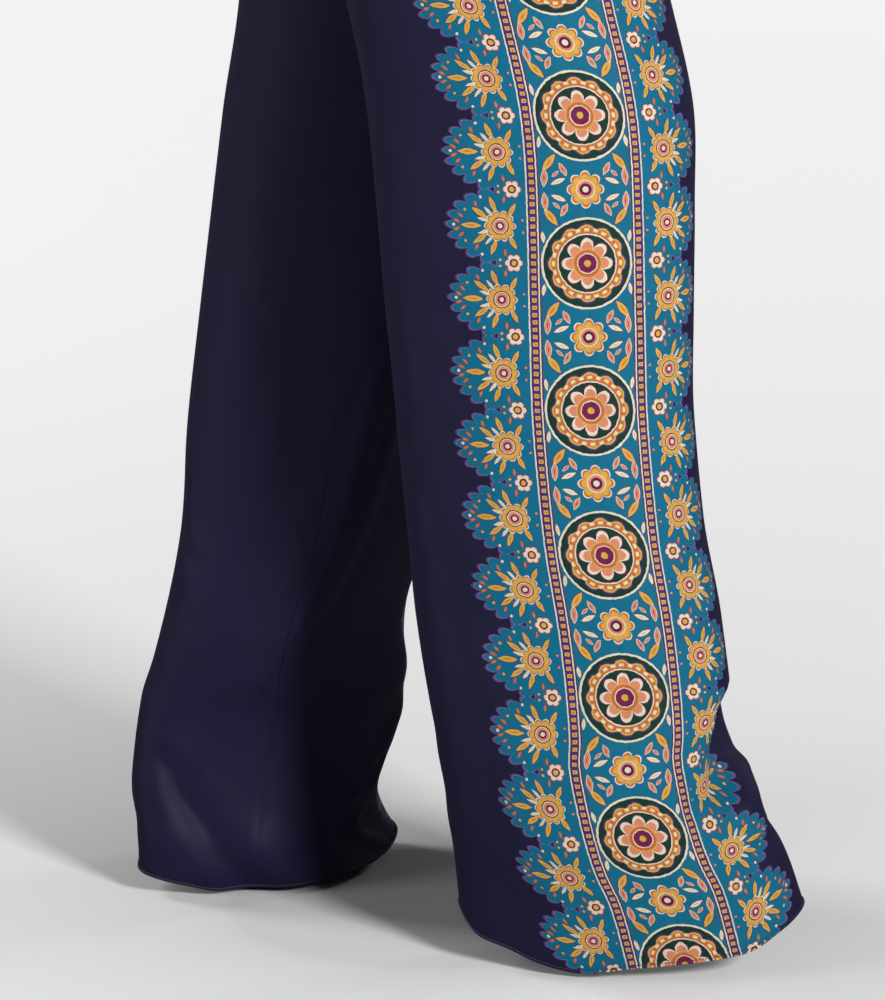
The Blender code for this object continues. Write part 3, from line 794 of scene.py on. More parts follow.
class Printer:
    """Lays one motif over another in the print's node group."""

    def __init__(self, nodes, ground):
        self.nodes, self.colour = nodes, ground

    def lay(self, value, text):
        """The text names inks from the middle out, each with the place where it ends."""
        words = text.split()
        ends = [float(word) for word in words[1::2]]
        stops = [*zip([0.0, *ends], [INK[word] for word in words[::2]]), (ends[-1], CLEAR)]
        node = self.nodes.add("ShaderNodeValToRGB", {"Fac": value * 0.5})
        node.color_ramp.interpolation = "CONSTANT"
        marks = node.color_ramp.elements
        while len(marks) < len(stops):
            marks.new(0.5)
        for mark, (place, colour) in zip(marks, stops):
            mark.position, mark.color = place / 2, colour
        got = self.nodes.named(node)
        self.colour = self.nodes.mix(got["Alpha"], self.colour, got["Color"])

    def flower(self, place, across, up, radius, petals, depth, petal_inks, eye_inks):
        sizes = {"Across": across, "Up": up, "Radius": radius, "Petals": petals, "Depth": depth}
        got = self.nodes.group("Print flower", Place=place, **sizes)
        self.lay(got["Petal"], petal_inks)
        self.lay(got["Round"], eye_inks)

    def leaf(self, place, across, up, turn, length, width, inks):
        sizes = {"Across": across, "Up": up, "Turn": math.radians(turn), "Length": length, "Width": width}
        self.lay(self.nodes.group("Print leaf", Place=place, **sizes)["Edge"], inks)

    def dot(self, place, across, up, radius, ink):
        away = self.nodes.vector("DISTANCE", place, (across, up, 0.0))
        self.lay(away / radius, f"{ink} 0.75 purple 1")


# The print, in millimetres: out from the side seam, and up from a medallion's
# middle. It is mirrored about the seam, and up and down in each repeat.

REPEAT = 98.0
GOLD_LEAF = "orange 0.16 gold 0.80 purple 1"
CREAM_LEAF = "gold 0.14 cream 0.80 plum 1"
ORANGE_LEAF = "coral 0.20 orange 0.84 plum 1"
CORAL_LEAF = "wine 0.14 coral 0.82 cream 1"
FAN_LEAVES = (
    (76.5, 0.0, 0, 8.0, 2.5, GOLD_LEAF), (70.5, 8.6, 34, 7.0, 2.2, GOLD_LEAF),
    (61.5, 14.0, 68, 6.6, 2.1, GOLD_LEAF), (49.0, 10.5, 118, 6.0, 2.0, GOLD_LEAF),
    (67.5, 4.0, 14, 5.4, 1.4, CREAM_LEAF), (64.5, 9.6, 48, 4.6, 1.3, CREAM_LEAF),
    (86.5, 2.8, 24, 3.0, 1.2, ORANGE_LEAF), (83.5, 6.4, 40, 2.8, 1.1, ORANGE_LEAF),
    (73.0, 14.4, 66, 2.6, 1.1, ORANGE_LEAF), (54.0, 17.5, 96, 2.8, 1.1, ORANGE_LEAF),
)
FAN_DOTS = (
    (88.5, 0.0, 1.5, "cream"), (80.5, 10.5, 1.3, "gold"), (69.5, 19.0, 1.3, "cream"),
    (42.0, 4.0, 1.1, "coral"), (57.5, 22.5, 1.2, "gold"),
)
COLUMN_LEAVES = (
    (23.5, 31.0, 52, 8.0, 3.0, GOLD_LEAF), (29.0, 17.5, 82, 4.6, 1.7, CREAM_LEAF),
    (14.5, 35.5, 118, 5.0, 1.9, CORAL_LEAF), (27.0, 41.0, 86, 6.4, 2.3, CORAL_LEAF),
    (18.0, 43.5, 22, 6.0, 2.0, CREAM_LEAF), (19.5, 38.5, 40, 3.2, 1.2, CORAL_LEAF),
)
COLUMN_WIDTH, GUARD_WIDTH = 39.4, 57.0
GUARD_MIDDLE, GUARD_PITCH = 35.4, 2.45
DISC_RADIUS, BEAD_RING = 30.5, 22.4


def build_print_group():
    """A generic border along the side seam: medallions between guard lines and scalloped fans."""
    outputs = ("Colour", "Printed")
    n, given, out = node_group("Seam print", outputs, Flat=None, Repeat=REPEAT, Ground=INK["night"])
    blur = (n.noise(given["Flat"], 0.35, 1.0) - 0.5) * 0.9
    flat_x, flat_y, _ = n.split(given["Flat"])
    x = abs(flat_x) + blur
    y = n.math("PINGPONG", flat_y / given["Repeat"] * REPEAT, REPEAT / 2) + blur
    side = abs(y - REPEAT / 4)
    whole, fan = n.join(x, y), n.join(x, side)
    p = Printer(n, given["Ground"])
    # the scalloped fans, with their leaves and blossoms
    scallops = {"Across": 50.0, "Up": 0.0, "Radius": 45.0, "Petals": 22.0, "Depth": 0.17}
    got = n.group("Print flower", Place=n.join(x, side * 1.62), **scallops)
    reach = n.math("MINIMUM", x / GUARD_WIDTH, got["Petal"])
    p.lay(reach, "teal 0.955 lilac 0.975 night 0.985 lilac 1")
    for leaf in FAN_LEAVES:
        p.leaf(fan, *leaf)
    p.flower(
        fan, 57.0, 0.0, 10.6, 10.0, 0.30, "plum 0.50 gold 0.84 orange 0.93 cream 1",
        "cream 0.14 wine 0.26 coral 0.42 cream 0.47 plum 0.54",
    )
    p.flower(
        fan, 48.5, 24.5, 6.6, 6.0, 0.34, "purple 0.40 cream 0.82 coral 0.92 purple 1",
        "gold 0.26 wine 0.44",
    )
    for dot in FAN_DOTS:
        p.dot(fan, *dot)
    # the column along the seam, on a teal ground, and its guard lines of small squares
    p.lay(x / COLUMN_WIDTH, "teal 0.775 plum 0.800 cream 0.822 purple 0.975 cream 1")
    step = n.math("PINGPONG", y, GUARD_PITCH)
    p.lay(n.math("MAXIMUM", step / 1.35, abs(x - GUARD_MIDDLE) / 1.6), "orange 0.45 gold 1")
    for leaf in COLUMN_LEAVES:
        p.leaf(whole, *leaf)
    # the medallion: its disc, two flowers and a ring of beads, and the blossom between two
    p.lay(n.vector("LENGTH", whole) / DISC_RADIUS, "green 0.95 cream 1")
    p.flower(
        whole, 0.0, 0.0, 27.0, 12.0, 0.16, "plum 0.72 orange 0.90 gold 0.95 purple 1",
        "green 0.70 cream 0.73",
    )
    p.flower(
        whole, 0.0, 0.0, 18.0, 8.0, 0.42, "coral 0.80 cream 0.93 plum 1",
        "gold 0.12 wine 0.34 cream 0.38 orange 0.50 gold 0.54",
    )
    ring = {"Across": 0.0, "Up": 0.0, "Radius": BEAD_RING, "Petals": 24.0, "Depth": 0.0}
    bead = n.group("Print flower", Place=whole, **ring)
    p.lay(n.math("MAXIMUM", abs(bead["Round"] - 1.0) * 17.0, (1.0 - bead["Rib"]) * 2.2), "cream 0.6 gold 1")
    p.flower(
        whole, 0.0, REPEAT / 2, 12.6, 8.0, 0.34, "green 0.46 gold 0.80 orange 0.92 cream 1",
        "cream 0.16 plum 0.32 coral 0.44 cream 0.50",
    )
    printed = n.math("LESS_THAN", reach, 1.0)
    tinted = n.shade(p.colour, n.noise(given["Flat"], 0.9, 2.0, 0.6) * 0.24 + 0.88)
    n.feed(out, {"Colour": n.mix(printed, given["Ground"], tinted), "Printed": printed})


def new_material(name, **settings):
    """A material, its nodes and its shader, with plain settings such as Sheen_Weight."""
    made = bpy.data.materials.new(name)
    made.use_nodes = True
    n = Nodes(made.node_tree)
    shader = made.node_tree.nodes["Principled BSDF"]
    shader.location = SHADER_PLACE
    made.node_tree.nodes["Material Output"].location = OUTPUT_PLACE
    n.feed(shader.inputs, {key.replace("_", " "): value for key, value in settings.items()})
    return made, n, shader.inputs


SILK_ROUGHNESS, PRINT_ROUGHER, CLOUD_ROUGHER = 0.54, 0.08, 0.12
SILK_SHINE = 0.13
RIB_LIGHT, CLOUD_LIGHT, LEAST_LIGHT = 0.10, 0.30, 0.80
WRONG_SIDE_DULL = 0.62
MM = 1000.0
SHEEN_TINT = (0.62, 0.60, 1.0, 1.0)


def silk_material(name, settings, printed=True):
    """Silk twill: navy, or printed by the side seam, paler on its wrong side."""
    made, n, shader = new_material(
        name, Sheen_Weight=settings.sheen, Sheen_Roughness=0.35, Sheen_Tint=SHEEN_TINT,
        Specular_IOR_Level=SILK_SHINE,
    )
    mm = n.vector("MULTIPLY", n.get("ShaderNodeUVMap", uv_map="flat"), (MM, MM, 0.0))
    weave = n.group("Silk weave", Flat=mm, Rib=settings.weave_pitch * MM)
    colour, rough = tuple(settings.silk_colour), SILK_ROUGHNESS
    if printed:
        found = n.group("Seam print", Flat=mm, Repeat=settings.print_repeat * MM, Ground=colour)
        inside = n.get("ShaderNodeAttribute", None, "Fac", attribute_name="wrong_side")
        dull = inside * found["Printed"] * WRONG_SIDE_DULL
        colour = n.mix(dull, found["Colour"], colour)
        rough = found["Printed"] * PRINT_ROUGHER + rough
    light = weave["Ribs"] * RIB_LIGHT + weave["Cloud"] * CLOUD_LIGHT + LEAST_LIGHT
    n.feed(shader, {
        "Base Color": n.shade(colour, light),
        "Roughness": (weave["Cloud"] - 0.5) * CLOUD_ROUGHER + rough,
        "Normal": n.bump(weave["Height"], 0.16, 0.0002),
    })
    return made


def thread_material(name, colour):
    """Twisted sewing thread."""
    made, n, shader = new_material(name, Sheen_Weight=0.3)
    place = n.get("ShaderNodeTexCoord", None, "Object")
    twist = n.noise(n.vector("MULTIPLY", place, (1.0, 1.0, 1.6)), 2600.0, 1.0)
    n.feed(shader, {
        "Base Color": n.shade(colour, twist * 0.8 + 0.6),
        "Roughness": twist * 0.2 + 0.45,
        "Normal": n.bump(twist, 0.4, 0.0001),
    })
    return made


def button_material(settings):
    """Polished dark horn-like resin with slow marbling."""
    made, n, shader = new_material("button_horn", Coat_Weight=0.3)
    place = n.get("ShaderNodeTexCoord", None, "Object")
    marble = n.noise(n.vector("MULTIPLY", place, (1.0, 1.0, 0.4)), 260.0, 4.0, 0.6)
    dark = tuple(settings.button_colour)
    pale = tuple(min(1.0, c * 2.6 + 0.006) for c in dark[:3]) + (1.0,)
    n.feed(shader, {
        "Base Color": n.mix(marble, dark, pale),
        "Roughness": marble * 0.14 + 0.18,
        "Normal": n.bump(n.noise(place, 2400.0, 2.0), 0.08, 0.0001),
    })
    return made


# --- Sizes and colours a user may change ---


def colour(name, text, *value):
    return bpy.props.FloatVectorProperty(
        name=name, description=text, subtype="COLOR", size=4, min=0, max=1, default=(*value, 1.0)
    )


def number(name, text, value, **more):
    return bpy.props.FloatProperty(name=name, description=text, default=value, **more)


def length(name, text, value, **more):
    return number(name, text, value, unit="LENGTH", **more)


def angle(name, text, degrees):
    return number(name, text, math.radians(degrees), subtype="ANGLE", unit="ROTATION")


class TrousersCloth(bpy.types.PropertyGroup):
    """The silk and its print."""

    silk_colour: colour("Silk", "The plain silk's colour", 0.0115, 0.0098, 0.0350)
    sheen: number("Sheen", "How strongly the silk glows at its edges", 0.05, min=0, max=1, subtype="FACTOR")
    weave_pitch: length("Twill pitch", "From one rib of the twill to the next", 0.0005, min=0.0002, max=0.002)
    print_repeat: length("Print repeat", "From one medallion to the next", 0.098, min=0.05, max=0.2)


class TrousersTrim(bpy.types.PropertyGroup):
    """Stitches and the button."""

    hem_pitch: length("Hem stitches", "From one overcast stitch to the next", 0.0021, min=0.001, max=0.006)
    seam_pitch: length("Fly stitches", "From one fly stitch to the next", 0.0027, min=0.0015, max=0.006)
    thread_colour: colour("Thread", "The sewing thread's colour", 0.030, 0.027, 0.062)
    button_colour: colour("Button", "The button's colour", 0.010, 0.010, 0.022)


class TrousersStage(bpy.types.PropertyGroup):
    """The floor, the lights and the camera."""

    floor_colour: colour("Floor", "The floor's colour", 0.86, 0.86, 0.865)
    key_power: number("Key light", "The main light's power", 172, min=0, max=2000, unit="POWER")
    backdrop_glow: number("Backdrop", "How far the floor brightens behind the garment", 0.77, min=0, max=1)
    world_strength: number("Surround", "The even light from all round", 0.03, min=0, max=3)
    azimuth: angle("Azimuth", "Where the camera stands round the garment", -86)
    elevation: angle("Elevation", "How high the camera stands", 12)
    distance: length("Distance", "From the camera to its target", 3.7)
    target_height: length("Target height", "The target's height above the floor", 0.295)
    lens: number("Lens", "Focal length in millimetres", 190.6, min=20, max=400)


# --- Pieces ---

Side = namedtuple("Side", "name side legs folds hem creases")
SIDES = table_of(
    Side,
    ("right", -1, RIGHT_LEG, RIGHT_FOLDS, RIGHT_HEM, RIGHT_CREASES),
    ("left", 1, LEFT_LEG, LEFT_FOLDS, LEFT_HEM, LEFT_CREASES),
)
Cut = namedtuple("Cut", "width length area")
FRONT_CUT = Cut(0.300, 1.100, 0.290)
BACK_CUT = Cut(0.360, 1.110, 0.350)
FLY_CUT = Cut(0.045, 0.165, 0.0062)


@functools.cache
def half_of(given):
    """One half of the cloth, worked out once."""
    return half_cloth(given.side, given.legs, given.folds, given.hem, given.creases)


@functools.cache
def panel_of(face, given):
    """One panel of the cloth, worked out once."""
    columns = FRONT_COLUMNS if face == "front" else BACK_COLUMNS
    return panel_grid(half_of(given), face == "front", columns)


def band_run(start, end, columns, heights):
    """Waistband points from one share of the whole oval to another, and their normals."""
    made = []
    for height in heights:
        angles = np.linspace(start, end, columns + 1) * 2 * math.pi
        reach = np.where(np.cos(angles) > 0, column(SEAT, "back", height), column(SEAT, "front", height))
        x = -column(SEAT, "half_width", height) * np.sin(angles)
        made.append(np.stack([x, reach * np.cos(angles), np.full_like(x, height - WAIST_HEIGHT)], axis=1))
    made = np.array(made)
    normals = np.cross(np.gradient(made, axis=1), np.gradient(made, heights, axis=0))
    return made, normals / np.linalg.norm(normals, axis=2, keepdims=True)


class TROUSERS_OT_panels(bpy.types.Operator):
    """Build the four leg panels in silk"""

    bl_idname = "trousers.panels"
    bl_label = "Leg panels"

    def execute(self, context):
        silk = silk_material("printed_silk", context.scene.trousers_cloth)
        for given in SIDES:
            for face, cut in (("front", FRONT_CUT), ("back", BACK_CUT)):
                panel = panel_of(face, given)
                outer, inner = panel_walls(panel, given.side)
                maps = np.stack([panel.across, panel.rise], axis=2)
                made = wall_object(f"silk_{face}_{given.name}", outer, inner, silk, maps)
                finished(made, "silk", f"{face}_{given.name}")
        return {"FINISHED"}


BAND_EDGE = 0.0009
BAND_PROFILE = ((0.0, 1.0), (0.15, 0.5), (0.5, 0.15), (1.0, 0.0))
BAND_ROWS = 12
BAND_COLUMNS = 150
TAB_COLUMNS = 170


def band_heights():
    """Heights of the waistband's rows, closer at its rounded edges."""
    half = BAND_HEIGHT / 2
    top = [WAIST_HEIGHT + half - BAND_EDGE * a for a, _ in BAND_PROFILE]
    low = [WAIST_HEIGHT - half + SEAM_GAP / 2 + BAND_EDGE * a for a, _ in reversed(BAND_PROFILE)]
    return np.concatenate([top, np.linspace(top[-1], low[0], BAND_ROWS)[1:-1], low])


def band_object(name, silk, start, end, columns, raised=0.0):
    """A stretch of waistband, eased at its edges and mapped along and up."""
    heights = band_heights()
    middle, out = band_run(start, end, columns, heights)
    middle = middle + out * np.reshape(raised, (1, -1, 1))
    ease = np.zeros((len(heights), 1, 1))
    for k, (_, dip) in enumerate(BAND_PROFILE):
        ease[k] = ease[-1 - k] = dip * BAND_EDGE
    outer = middle - out * ease
    steps = np.linalg.norm(np.diff(outer, axis=1), axis=2)
    along = np.concatenate([np.zeros((len(outer), 1)), np.cumsum(steps, axis=1)], axis=1)
    maps = np.stack([outer[:, :, 2], along], axis=2)
    return wall_object(name, outer, middle - out * (BAND_THICKNESS - ease), silk, maps)


def band_shares():
    """Shares of the oval that the seam gap, the tab and its ramp take."""
    around = 2 * math.pi * column(SEAT, "half_width", WAIST_HEIGHT)
    return SEAM_GAP / 2 / around, TAB_LENGTH / around, TAB_RAMP / around


class TROUSERS_OT_waistband(bpy.types.Operator):
    """Build both halves of the waistband"""

    bl_idname = "trousers.waistband"
    bl_label = "Waistband"

    def execute(self, context):
        silk = silk_material("band_silk", context.scene.trousers_cloth, printed=False)
        gap, tab, ramp = band_shares()
        left = band_object("band_left", silk, 0.5 + gap, 1.0 - gap, BAND_COLUMNS)
        shares = np.linspace(gap, 0.5 + tab, TAB_COLUMNS + 1)
        raised = (BAND_THICKNESS + SEAM_GAP) * smooth_step((shares - 0.5 + ramp + gap) / ramp)
        right = band_object("band_right", silk, gap, 0.5 + tab, TAB_COLUMNS, raised)
        for made, node in ((left, "waistband_left"), (right, "waistband_right")):
            finished(made, "band", node)
        return {"FINISHED"}


FLY_WIDTH_SHARE = 3 / 18
FLY_SHORT, FLY_LONG = 0.1149, 0.1626
FLY_CURVE_POWER = 2.4
FLY_COLUMNS, FLY_ROWS = 32, 89
FLY_DEPTH = 0.16
FLY_EDGE_REACH, FLY_EDGE_EASE = 0.0012, 0.0004


def fly_surface(across, down, out_by):
    """Points on the flap: across from 0 at the centre seam to 1, down from 0 to 1."""
    panel = panel_of("front", SIDES[0])
    deep = FLY_SHORT + (FLY_LONG - FLY_SHORT) * np.sqrt(np.clip(1 - across**FLY_CURVE_POWER, 0, 1))
    height = panel.heights[0] - deep * down
    column_at = across * FLY_WIDTH_SHARE * (panel.points.shape[1] - 1)
    row_at = np.interp(-height, -panel.heights, np.arange(len(panel.heights)))
    place = panel.points + panel.normals * out_by
    c, r = np.floor(column_at).astype(int), np.floor(row_at).astype(int)
    fc, fr = (column_at - c)[..., None], (row_at - r)[..., None]
    for_c, for_r = np.minimum(c + 1, place.shape[1] - 1), np.minimum(r + 1, len(place) - 1)
    points = (
        place[r, c] * (1 - fc) * (1 - fr) + place[r, for_c] * fc * (1 - fr)
        + place[for_r, c] * (1 - fc) * fr + place[for_r, for_c] * fc * fr
    )
    return points, panel.normals[r, c]


class TROUSERS_OT_fly(bpy.types.Operator):
    """Build the flap over the closure"""

    bl_idname = "trousers.fly"
    bl_label = "Fly flap"

    def execute(self, context):
        silk = silk_material("fly_silk", context.scene.trousers_cloth, printed=False)
        across, down = np.meshgrid(np.linspace(0, 1, FLY_COLUMNS + 1), np.linspace(0, 1, FLY_ROWS + 1))
        base, out = fly_surface(across, down, 0.0)
        edge = np.minimum((1 - across) * FLY_CUT.width, (1 - down) * FLY_DEPTH) / FLY_EDGE_REACH
        ease = FLY_EDGE_EASE * np.exp(-edge * edge)[..., None]
        outer = base + out * (SEAM_GAP + FLY_THICKNESS - ease)
        inner = base + out * SEAM_GAP
        maps = np.stack([across * FLY_CUT.width, base[:, :, 2]], axis=2)
        made = wall_object("fly_silk_flap", outer, inner, silk, maps)
        finished(made, "silk", "fly_flap")
        return {"FINISHED"}


Face = namedtuple("Face", "place out across up")


def button_face():
    """The button's place on the tab, its way out, and the ways across and up its face."""
    gap, tab, _ = band_shares()
    heights = band_heights()
    spot, out = band_run(0.5 + tab / 2, 0.5 + tab / 2 + gap, 1, heights)
    middle = len(heights) // 2
    place, out = spot[middle, 0], out[middle, 0]
    place[2] = 0.0
    across = np.cross([0.0, 0.0, 1.0], out)
    place = place + out * (BAND_THICKNESS + SEAM_GAP) + out * (SEAM_GAP + BUTTON_STANDOFF)
    return Face(place, out, across, np.cross(out, across))


# Turned profiles are pairs of a radius and a rise above the button's back.

BUTTON_PROFILE = (
    (0.0, 0.0), (0.0077, 0.0), (0.0083, 0.0004), (0.0085, 0.0012), (0.0084, 0.0022),
    (0.0079, 0.0029), (0.0072, 0.0030), (0.0064, 0.0026), (0.0058, 0.0021), (0.0030, 0.0020), (0.0, 0.0020),
)
HOLE_REACH = 0.0019
HOLE_SHARE = 0.95
HOLE_PROFILE = ((0.0, -0.001), (0.0010, -0.001), (0.0010, 0.004), (0.0, 0.004))
BUTTON_TURNS, HOLE_TURNS = 64, 16
STRAND_RADIUS, STRAND_PITCH = 0.00026, 0.00042
STRAND_SIDES, STRAND_STEPS = 8, 12
STRAND_LOW, STRAND_RISE, STRAND_POWER = 0.0012, 0.0013, 0.6


def lathe(profile, place, face, turns):
    """Points and faces of a closed turned shape."""
    points, faces, rings = [], [], []
    for radius, rise in profile:
        if radius == 0:
            rings.append([len(points)] * turns)
            points.append(place + face.out * rise)
            continue
        rings.append(list(range(len(points), len(points) + turns)))
        for k in range(turns):
            t = 2 * math.pi * k / turns
            outward = math.cos(t) * face.across + math.sin(t) * face.up
            points.append(place + face.out * rise + radius * outward)
    for a, b in zip(rings, rings[1:]):
        for k in range(turns):
            loop = (a[k], a[(k + 1) % turns], b[(k + 1) % turns], b[k])
            faces.append(tuple(dict.fromkeys(loop)))
    return points, faces


def strand(points, faces, at, row, shift):
    """One thread over the button's face, from hole to hole."""
    start, sides = len(points), STRAND_SIDES
    for k in range(STRAND_STEPS + 1):
        t = k / STRAND_STEPS * math.pi
        middle = (
            at.place + at.across * (-math.cos(t) * HOLE_REACH)
            + at.up * (row * HOLE_REACH + shift * STRAND_PITCH)
            + at.out * (STRAND_LOW + STRAND_RISE * math.sin(t) ** STRAND_POWER)
        )
        lean = at.across * math.cos(t) + at.out * math.sin(t)
        for s in range(sides):
            a = 2 * math.pi * s / sides
            points.append(middle + STRAND_RADIUS * (math.cos(a) * at.up + math.sin(a) * lean))
    for k in range(STRAND_STEPS):
        for s in range(sides):
            a, b = start + k * sides + s, start + k * sides + (s + 1) % sides
            faces.append((a, b, b + sides, a + sides))
    faces.append(tuple(start + s for s in reversed(range(sides))))
    faces.append(tuple(start + STRAND_STEPS * sides + s for s in range(sides)))


class TROUSERS_OT_button(bpy.types.Operator):
    """Build the waistband's button and the thread that holds it"""

    bl_idname = "trousers.button"
    bl_label = "Button"

    def execute(self, context):
        at = button_face()
        horn = button_material(context.scene.trousers_trim)
        disc = mesh_object("button_disc", *lathe(BUTTON_PROFILE, at.place, at, BUTTON_TURNS), horn)
        for x, y in ((1, 1), (1, -1), (-1, 1), (-1, -1)):
            middle = at.place + HOLE_REACH * (x * at.across + y * at.up) * HOLE_SHARE
            cutter = mesh_object("hole", *lathe(HOLE_PROFILE, middle, at, HOLE_TURNS), horn)
            cut = disc.modifiers.new("hole", "BOOLEAN")
            cut.operation, cut.solver, cut.object = "DIFFERENCE", "EXACT", cutter
            seen = disc.evaluated_get(context.evaluated_depsgraph_get())
            mesh = bpy.data.meshes.new_from_object(seen)
            disc.modifiers.remove(cut)
            disc.data = mesh
            bpy.data.objects.remove(cutter)
        disc.data.set_sharp_from_angle(angle=math.radians(SHARP_ANGLE))
        finished(disc, "button", "button")
        thread = thread_material("button_thread", tuple(context.scene.trousers_trim.thread_colour))
        points, faces = [], []
        for row in (-1, 1):
            for shift in (-1, 0, 1):
                strand(points, faces, at, row, shift)
        finished(mesh_object("button_sewing", points, faces, thread), "button")
        return {"FINISHED"}


# --- Stitches ---


def build_stitch_tree():
    """Stitches set evenly along a path that says which way they lie and face."""
    tree = bpy.data.node_groups.new("Stitch run", "GeometryNodeTree")
    sockets = (
        ("Geometry", "Geometry", None), ("Spacing", "Float", 0.002), ("Length", "Float", 0.0026),
        ("Width", "Float", 0.0005), ("Slant", "Float", 0.0), ("Thread", "Material", None),
    )
    for label, kind, value in sockets:
        made = tree.interface.new_socket(label, in_out="INPUT", socket_type="NodeSocket" + kind)
        if value is not None:
            made.default_value = value
    tree.interface.new_socket("Geometry", in_out="OUTPUT", socket_type="NodeSocketGeometry")
    n = Nodes(tree)
    given = n.named(n.add("NodeGroupInput"))
    curve = n.get("GeometryNodeMeshToCurve", {"Mesh": given["Geometry"]})
    feeds = {"Curve": curve, "Length": given["Spacing"]}
    even = n.get("GeometryNodeResampleCurve", feeds, mode="LENGTH")
    out, lay = (
        n.get("GeometryNodeInputNamedAttribute", {"Name": name}, data_type="FLOAT_VECTOR")
        for name in ("out", "lay")
    )
    facing = n.get("FunctionNodeAlignRotationToVector", {"Vector": out}, axis="Z")
    feeds = {"Rotation": facing, "Vector": lay}
    laid = n.get("FunctionNodeAlignRotationToVector", feeds, axis="X", pivot_axis="Z")
    slant = n.get("FunctionNodeAxisAngleToRotation", {"Axis": (0.0, 0.0, 1.0), "Angle": given["Slant"]})
    feeds = {"Rotation": laid, "Rotate By": slant}
    turned = n.get("FunctionNodeRotateRotation", feeds, rotation_space="LOCAL")
    ball = n.get("GeometryNodeMeshUVSphere", {"Segments": 8, "Rings": 6, "Radius": 0.5})
    scale = n.join(given["Length"], given["Width"], given["Width"])
    shape = n.get("GeometryNodeTransform", {"Geometry": ball, "Scale": scale})
    smooth = n.get("GeometryNodeSetShadeSmooth", {"Geometry": shape})
    feeds = {"Points": even, "Instance": smooth, "Rotation": turned}
    placed = n.get("GeometryNodeInstanceOnPoints", feeds)
    real = n.get("GeometryNodeRealizeInstances", {"Geometry": placed})
    done = n.get("GeometryNodeSetMaterial", {"Geometry": real, "Material": given["Thread"]})
    n.add("NodeGroupOutput", {"Geometry": done})


def stitched(name, path, out, lay, thread, **inputs):
    """A run of stitches along a path, as a plain mesh that rides on the garment."""
    mesh = bpy.data.meshes.new(name + "_path")
    mesh.from_pydata(np.asarray(path).tolist(), [(k, k + 1) for k in range(len(path) - 1)], [])
    for label, values in (("out", out), ("lay", lay)):
        layer = mesh.attributes.new(label, "FLOAT_VECTOR", "POINT")
        layer.data.foreach_set("vector", np.asarray(values, float).ravel())
    carrier = in_scene(name + "_path", mesh)
    run = carrier.modifiers.new("stitches", "NODES")
    run.node_group = bpy.data.node_groups["Stitch run"]
    sockets = {s.name: s.identifier for s in run.node_group.interface.items_tree if s.in_out == "INPUT"}
    for label, value in {**inputs, "Thread": thread}.items():
        run[sockets[label]] = value
    seen = carrier.evaluated_get(bpy.context.evaluated_depsgraph_get())
    made = in_scene(name, bpy.data.meshes.new_from_object(seen))
    bpy.data.objects.remove(carrier)
    if not len(made.data.polygons):
        raise RuntimeError(f"{name} has no stitches")
    return finished(made, "silk")


HEM_LINE = HEM_BEAD * 1.5
HEM_STITCH = {"Length": 0.0030, "Width": 0.00045, "Slant": math.radians(24)}
FLY_STITCH = {"Length": 0.0021, "Width": 0.00042, "Slant": 0.0}
FLY_STITCH_LIFT = 0.0001
FLY_LINE_ACROSS, FLY_LINE_TOP, FLY_LINE_DOWN, FLY_LINE_END = 0.90, 0.004, 0.93, 0.04
FLY_LINE_LONG, FLY_LINE_SHORT = 120, 30


class TROUSERS_OT_stitches(bpy.types.Operator):
    """Sew the hems and the fly"""

    bl_idname = "trousers.stitches"
    bl_label = "Stitches"

    def execute(self, context):
        trim = context.scene.trousers_trim
        build_stitch_tree()
        thread = thread_material("sewing_thread", tuple(trim.thread_colour))
        for given in SIDES:
            for face in ("front", "back"):
                panel = panel_of(face, given)
                row = int(np.argmin(np.abs(panel.heights - HEM_LINE)))
                outer, _ = panel_walls(panel, given.side)
                stitched(
                    f"hem_stitches_{face}_{given.name}", outer[row], panel.normals[row],
                    outer[row - 1] - outer[row + 1], thread, Spacing=trim.hem_pitch, **HEM_STITCH,
                )
        turn = np.linspace(FLY_LINE_ACROSS, FLY_LINE_END, FLY_LINE_SHORT + 1)[1:]
        across = np.concatenate([np.full(FLY_LINE_LONG, FLY_LINE_ACROSS), turn])
        down = np.linspace(FLY_LINE_TOP, FLY_LINE_DOWN, FLY_LINE_LONG)
        down = np.concatenate([down, np.full(FLY_LINE_SHORT, FLY_LINE_DOWN)])
        path, out = fly_surface(across, down, SEAM_GAP + FLY_THICKNESS + FLY_STITCH_LIFT)
        lay = np.gradient(path, axis=0)
        stitched("fly_stitches", path, out, lay, thread, Spacing=trim.seam_pitch, **FLY_STITCH)
        return {"FINISHED"}


# --- Stage ---


LIGHT_AIM = (0.0, 0.0, -0.7)
LIGHTS = (
    ("key", (-3.3, -2.3, 0.9), 0.8, 1.0),
    ("fill", (-1.6, 3.2, 0.2), 1.6, 0.15),
    ("rim_left", (1.8, 4.0, 2.2), 1.4, 0.45),
    ("rim_right", (3.0, -3.4, 1.6), 1.0, 0.12),
)
GLOW_START, GLOW_END, GLOW_POWER = 0.15, 5.6, 0.46
STAGE_RADIUS = 14.0
STAGE_SIDES = 96
WALL_HEIGHT = 9.0
WALL_GLOW = 0.80
SENSOR_WIDTH = 36.0
VIEW_END = 100.0


def stage_object(name, points, faces, finish):
    """A piece of the stage, matt, so that nothing pale shows in the silk."""
    mesh = bpy.data.meshes.new(name)
    mesh.from_pydata(points, [], faces)
    mesh.materials.append(finish)
    made = in_scene(name, mesh)
    made.visible_glossy = False
    return made


